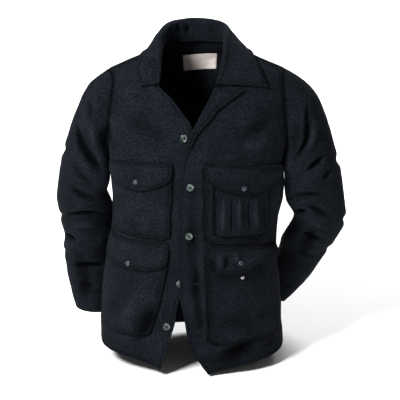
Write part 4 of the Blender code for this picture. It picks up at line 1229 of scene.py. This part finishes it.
class JACKET_OT_topstitching(bpy.types.Operator):
    """Sew the rows of stitches along edges, seams and channels"""

    bl_idname = "jacket.topstitching"
    bl_label = "Topstitching"

    def execute(self, context):
        stitch_mesh = model_stitch()
        for node in dict.fromkeys(row.node for row in ROWS):
            topstitch(node, stitch_mesh)
        tree = dressed_tree()
        pitch = context.scene.jacket_stitch.pitch
        for seam in SEAMS:
            found = [seen(tree, "front", *p) for p in curve_through(seam.points, 60)]
            line = np.array([point for point, _ in found])
            runs = []
            for place, direction in zip(*spaced(line, pitch)):
                point, normal, _, _ = tree.find_nearest(Vector(place))
                if normal.y > 0:
                    normal = -normal
                runs.append((point + normal * 0.0001, direction, normal))
            sew(seam.name + "_stitching", runs, stitch_mesh)
        return {"FINISHED"}


class JACKET_OT_buttonholes(bpy.types.Operator):
    """Work the buttonholes: close stitches along both sides of each and across its two ends"""

    bl_idname = "jacket.buttonholes"
    bl_label = "Buttonholes"

    def execute(self, context):
        tree = dressed_tree()
        stitch_mesh = model_stitch()
        short = context.scene.jacket_stitch.length * 0.62
        runs = []
        for start, end in HOLES:
            line = np.array([seen(tree, "front", *p)[0] for p in curve_through((start, end), 30)])
            for place, direction in zip(*spaced(line, 0.00065)):
                point, normal, _, _ = tree.find_nearest(Vector(place))
                if normal.y > 0:
                    normal = -normal
                along = Vector(direction).normalized()
                side = normal.cross(along).normalized()
                for way in (-1, 1):
                    runs.append((point + side * way * short * 0.62 + normal * 0.0002, side, normal))
            for place in (line[0], line[-1]):
                point, normal, _, _ = tree.find_nearest(Vector(place))
                if normal.y > 0:
                    normal = -normal
                side = normal.cross(Vector(line[-1] - line[0])).normalized()
                for shift in (-0.4, 0.4):
                    runs.append((point + side * shift * short + normal * 0.0003, side, normal))
        sew("buttonhole_stitching", runs, stitch_mesh)
        return {"FINISHED"}


class JACKET_OT_buttons(bpy.types.Operator):
    """Turn, drill and sew on the five marbled buttons"""

    bl_idname = "jacket.buttons"
    bl_label = "Buttons"

    def execute(self, context):
        model = turned_piece("button_model", BUTTON_PROFILE, finish("marbled_horn", horn_material))
        spread = HOLE_SPREAD * MM
        places = [(spread, spread), (-spread, spread), (-spread, -spread), (spread, -spread)]
        drill(model, places, HOLE_RADIUS * MM, 0.012)
        stitch_mesh = model_stitch()
        for k, node in enumerate(BUTTONS):
            button = copy_piece(model, node + "_horn")
            turn = (0.5, 1.3, 0.1, 0.9, 1.7)[k]
            place_on_seat(button, node, turn)
            settle_in(button, node)
            runs = []
            for a, b in ((0, 2), (1, 3)):
                for share in (-0.16, 0.16):
                    start, end = Vector((*places[a], 0)), Vector((*places[b], 0))
                    middle = (start + end) / 2
                    across = (end - start).cross(Vector((0, 0, 1))).normalized() * share * MM * 3
                    for step in (-0.34, 0.0, 0.34):
                        place = middle + (end - start) * step + across
                        place.z = 2.45 * MM
                        runs.append((place, end - start, Vector((0, 0, 1))))
            thread = sew(node + "_thread", runs, stitch_mesh)
            thread.parent = None
            place_on_seat(thread, node, turn)
            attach(thread, BODY)
        bpy.data.objects.remove(model)
        return {"FINISHED"}


class JACKET_OT_snaps(bpy.types.Operator):
    """Turn the snap caps on the flaps and the bare stud of the open flap"""

    bl_idname = "jacket.snaps"
    bl_label = "Snaps and stud"

    def execute(self, context):
        cap = turned_piece("snap_model", SNAP_PROFILE, finish("snap_metal", snap_material))
        for node in SNAPS:
            snap = copy_piece(cap, node + "_metal")
            place_on_seat(snap, node)
            settle_in(snap, node)
        bpy.data.objects.remove(cap)
        stud = turned_piece(STUD + "_metal", STUD_PROFILE, finish("stud_metal", stud_material))
        place_on_seat(stud, STUD)
        settle_in(stud, STUD)
        return {"FINISHED"}


class JACKET_OT_stage(bpy.types.Operator):
    """Lay the pale floor, hang the soft lights and set the camera at the photograph's angle"""

    bl_idname = "jacket.stage"
    bl_label = "Stage"

    def execute(self, context):
        scene, stage = context.scene, context.scene.jacket_stage
        bpy.ops.object.select_all(action="DESELECT")
        bpy.ops.mesh.primitive_plane_add(size=30, location=(0, 0, CAD_LOW.z - 0.004))
        floor = bpy.context.object
        floor.name = "floor"
        floor.data.materials.append(finish("pale_floor", floor_material))
        for lamp in LAMPS:
            light = bpy.data.lights.new(lamp.name, "AREA")
            light.energy = getattr(stage, lamp.name)
            light.size = lamp.size
            holder = bpy.data.objects.new(lamp.name, light)
            scene.collection.objects.link(holder)
            holder.location = lamp.place
            holder.rotation_mode = "QUATERNION"
            aim = Vector(lamp.target) - Vector(lamp.place)
            holder.rotation_quaternion = aim.to_track_quat("-Z", "Y")
        world = bpy.data.worlds.new("white_room")
        scene.world = world
        world.use_nodes = True
        world.node_tree.nodes["Background"].inputs["Color"].default_value = (1, 1, 1, 1)
        world.node_tree.nodes["Background"].inputs["Strength"].default_value = stage.world
        data = bpy.data.cameras.new("camera")
        data.sensor_width = SENSOR
        data.lens = SENSOR * VIEW_DISTANCE / VIEW_WIDTH
        data.clip_end = 60
        camera = bpy.data.objects.new("camera", data)
        scene.collection.objects.link(camera)
        tilt = math.radians(VIEW_ELEVATION)
        back = Vector((0, -math.cos(tilt), math.sin(tilt)))
        camera.location = Vector(VIEW_TARGET) + back * VIEW_DISTANCE
        camera.rotation_mode = "QUATERNION"
        camera.rotation_quaternion = (-back).to_track_quat("-Z", "Y")
        scene.camera = camera
        scene.view_settings.view_transform = "Standard"
        return {"FINISHED"}


OPERATORS = (
    JACKET_OT_body,
    JACKET_OT_sleeves,
    JACKET_OT_collar,
    JACKET_OT_pockets,
    JACKET_OT_label,
    JACKET_OT_topstitching,
    JACKET_OT_buttonholes,
    JACKET_OT_buttons,
    JACKET_OT_snaps,
    JACKET_OT_stage,
)


class JACKET_PT_panel(bpy.types.Panel):
    """Lists the jacket's settings and operators"""

    bl_idname = "JACKET_PT_panel"
    bl_label = "Mackinaw jacket"
    bl_space_type = "VIEW_3D"
    bl_region_type = "UI"
    bl_category = "Jacket"

    def draw(self, context):
        for group in (
            context.scene.jacket_wool,
            context.scene.jacket_stitch,
            context.scene.jacket_notion,
            context.scene.jacket_stage,
        ):
            for name in group.bl_rna.properties.keys():
                if name not in ("rna_type", "name"):
                    self.layout.prop(group, name)
        for operator in OPERATORS:
            self.layout.operator(operator.bl_idname)


GROUPS = {
    "jacket_wool": WoolSettings,
    "jacket_stitch": StitchSettings,
    "jacket_notion": NotionSettings,
    "jacket_stage": StageSettings,
}


def register():
    for name, group in GROUPS.items():
        bpy.utils.register_class(group)
        setattr(bpy.types.Scene, name, bpy.props.PointerProperty(type=group))
    for made in (*OPERATORS, JACKET_PT_panel):
        bpy.utils.register_class(made)


def unregister():
    for made in (JACKET_PT_panel, *reversed(OPERATORS)):
        bpy.utils.unregister_class(made)
    for name, group in GROUPS.items():
        delattr(bpy.types.Scene, name)
        bpy.utils.unregister_class(group)


def main():
    register()
    bpy.ops.jacket.body()
    bpy.ops.jacket.sleeves()
    bpy.ops.jacket.collar()
    bpy.ops.jacket.pockets()
    bpy.ops.jacket.label()
    bpy.ops.jacket.topstitching()
    bpy.ops.jacket.buttonholes()
    bpy.ops.jacket.buttons()
    bpy.ops.jacket.snaps()
    bpy.ops.jacket.stage()


if __name__ == "__main__":
    main()
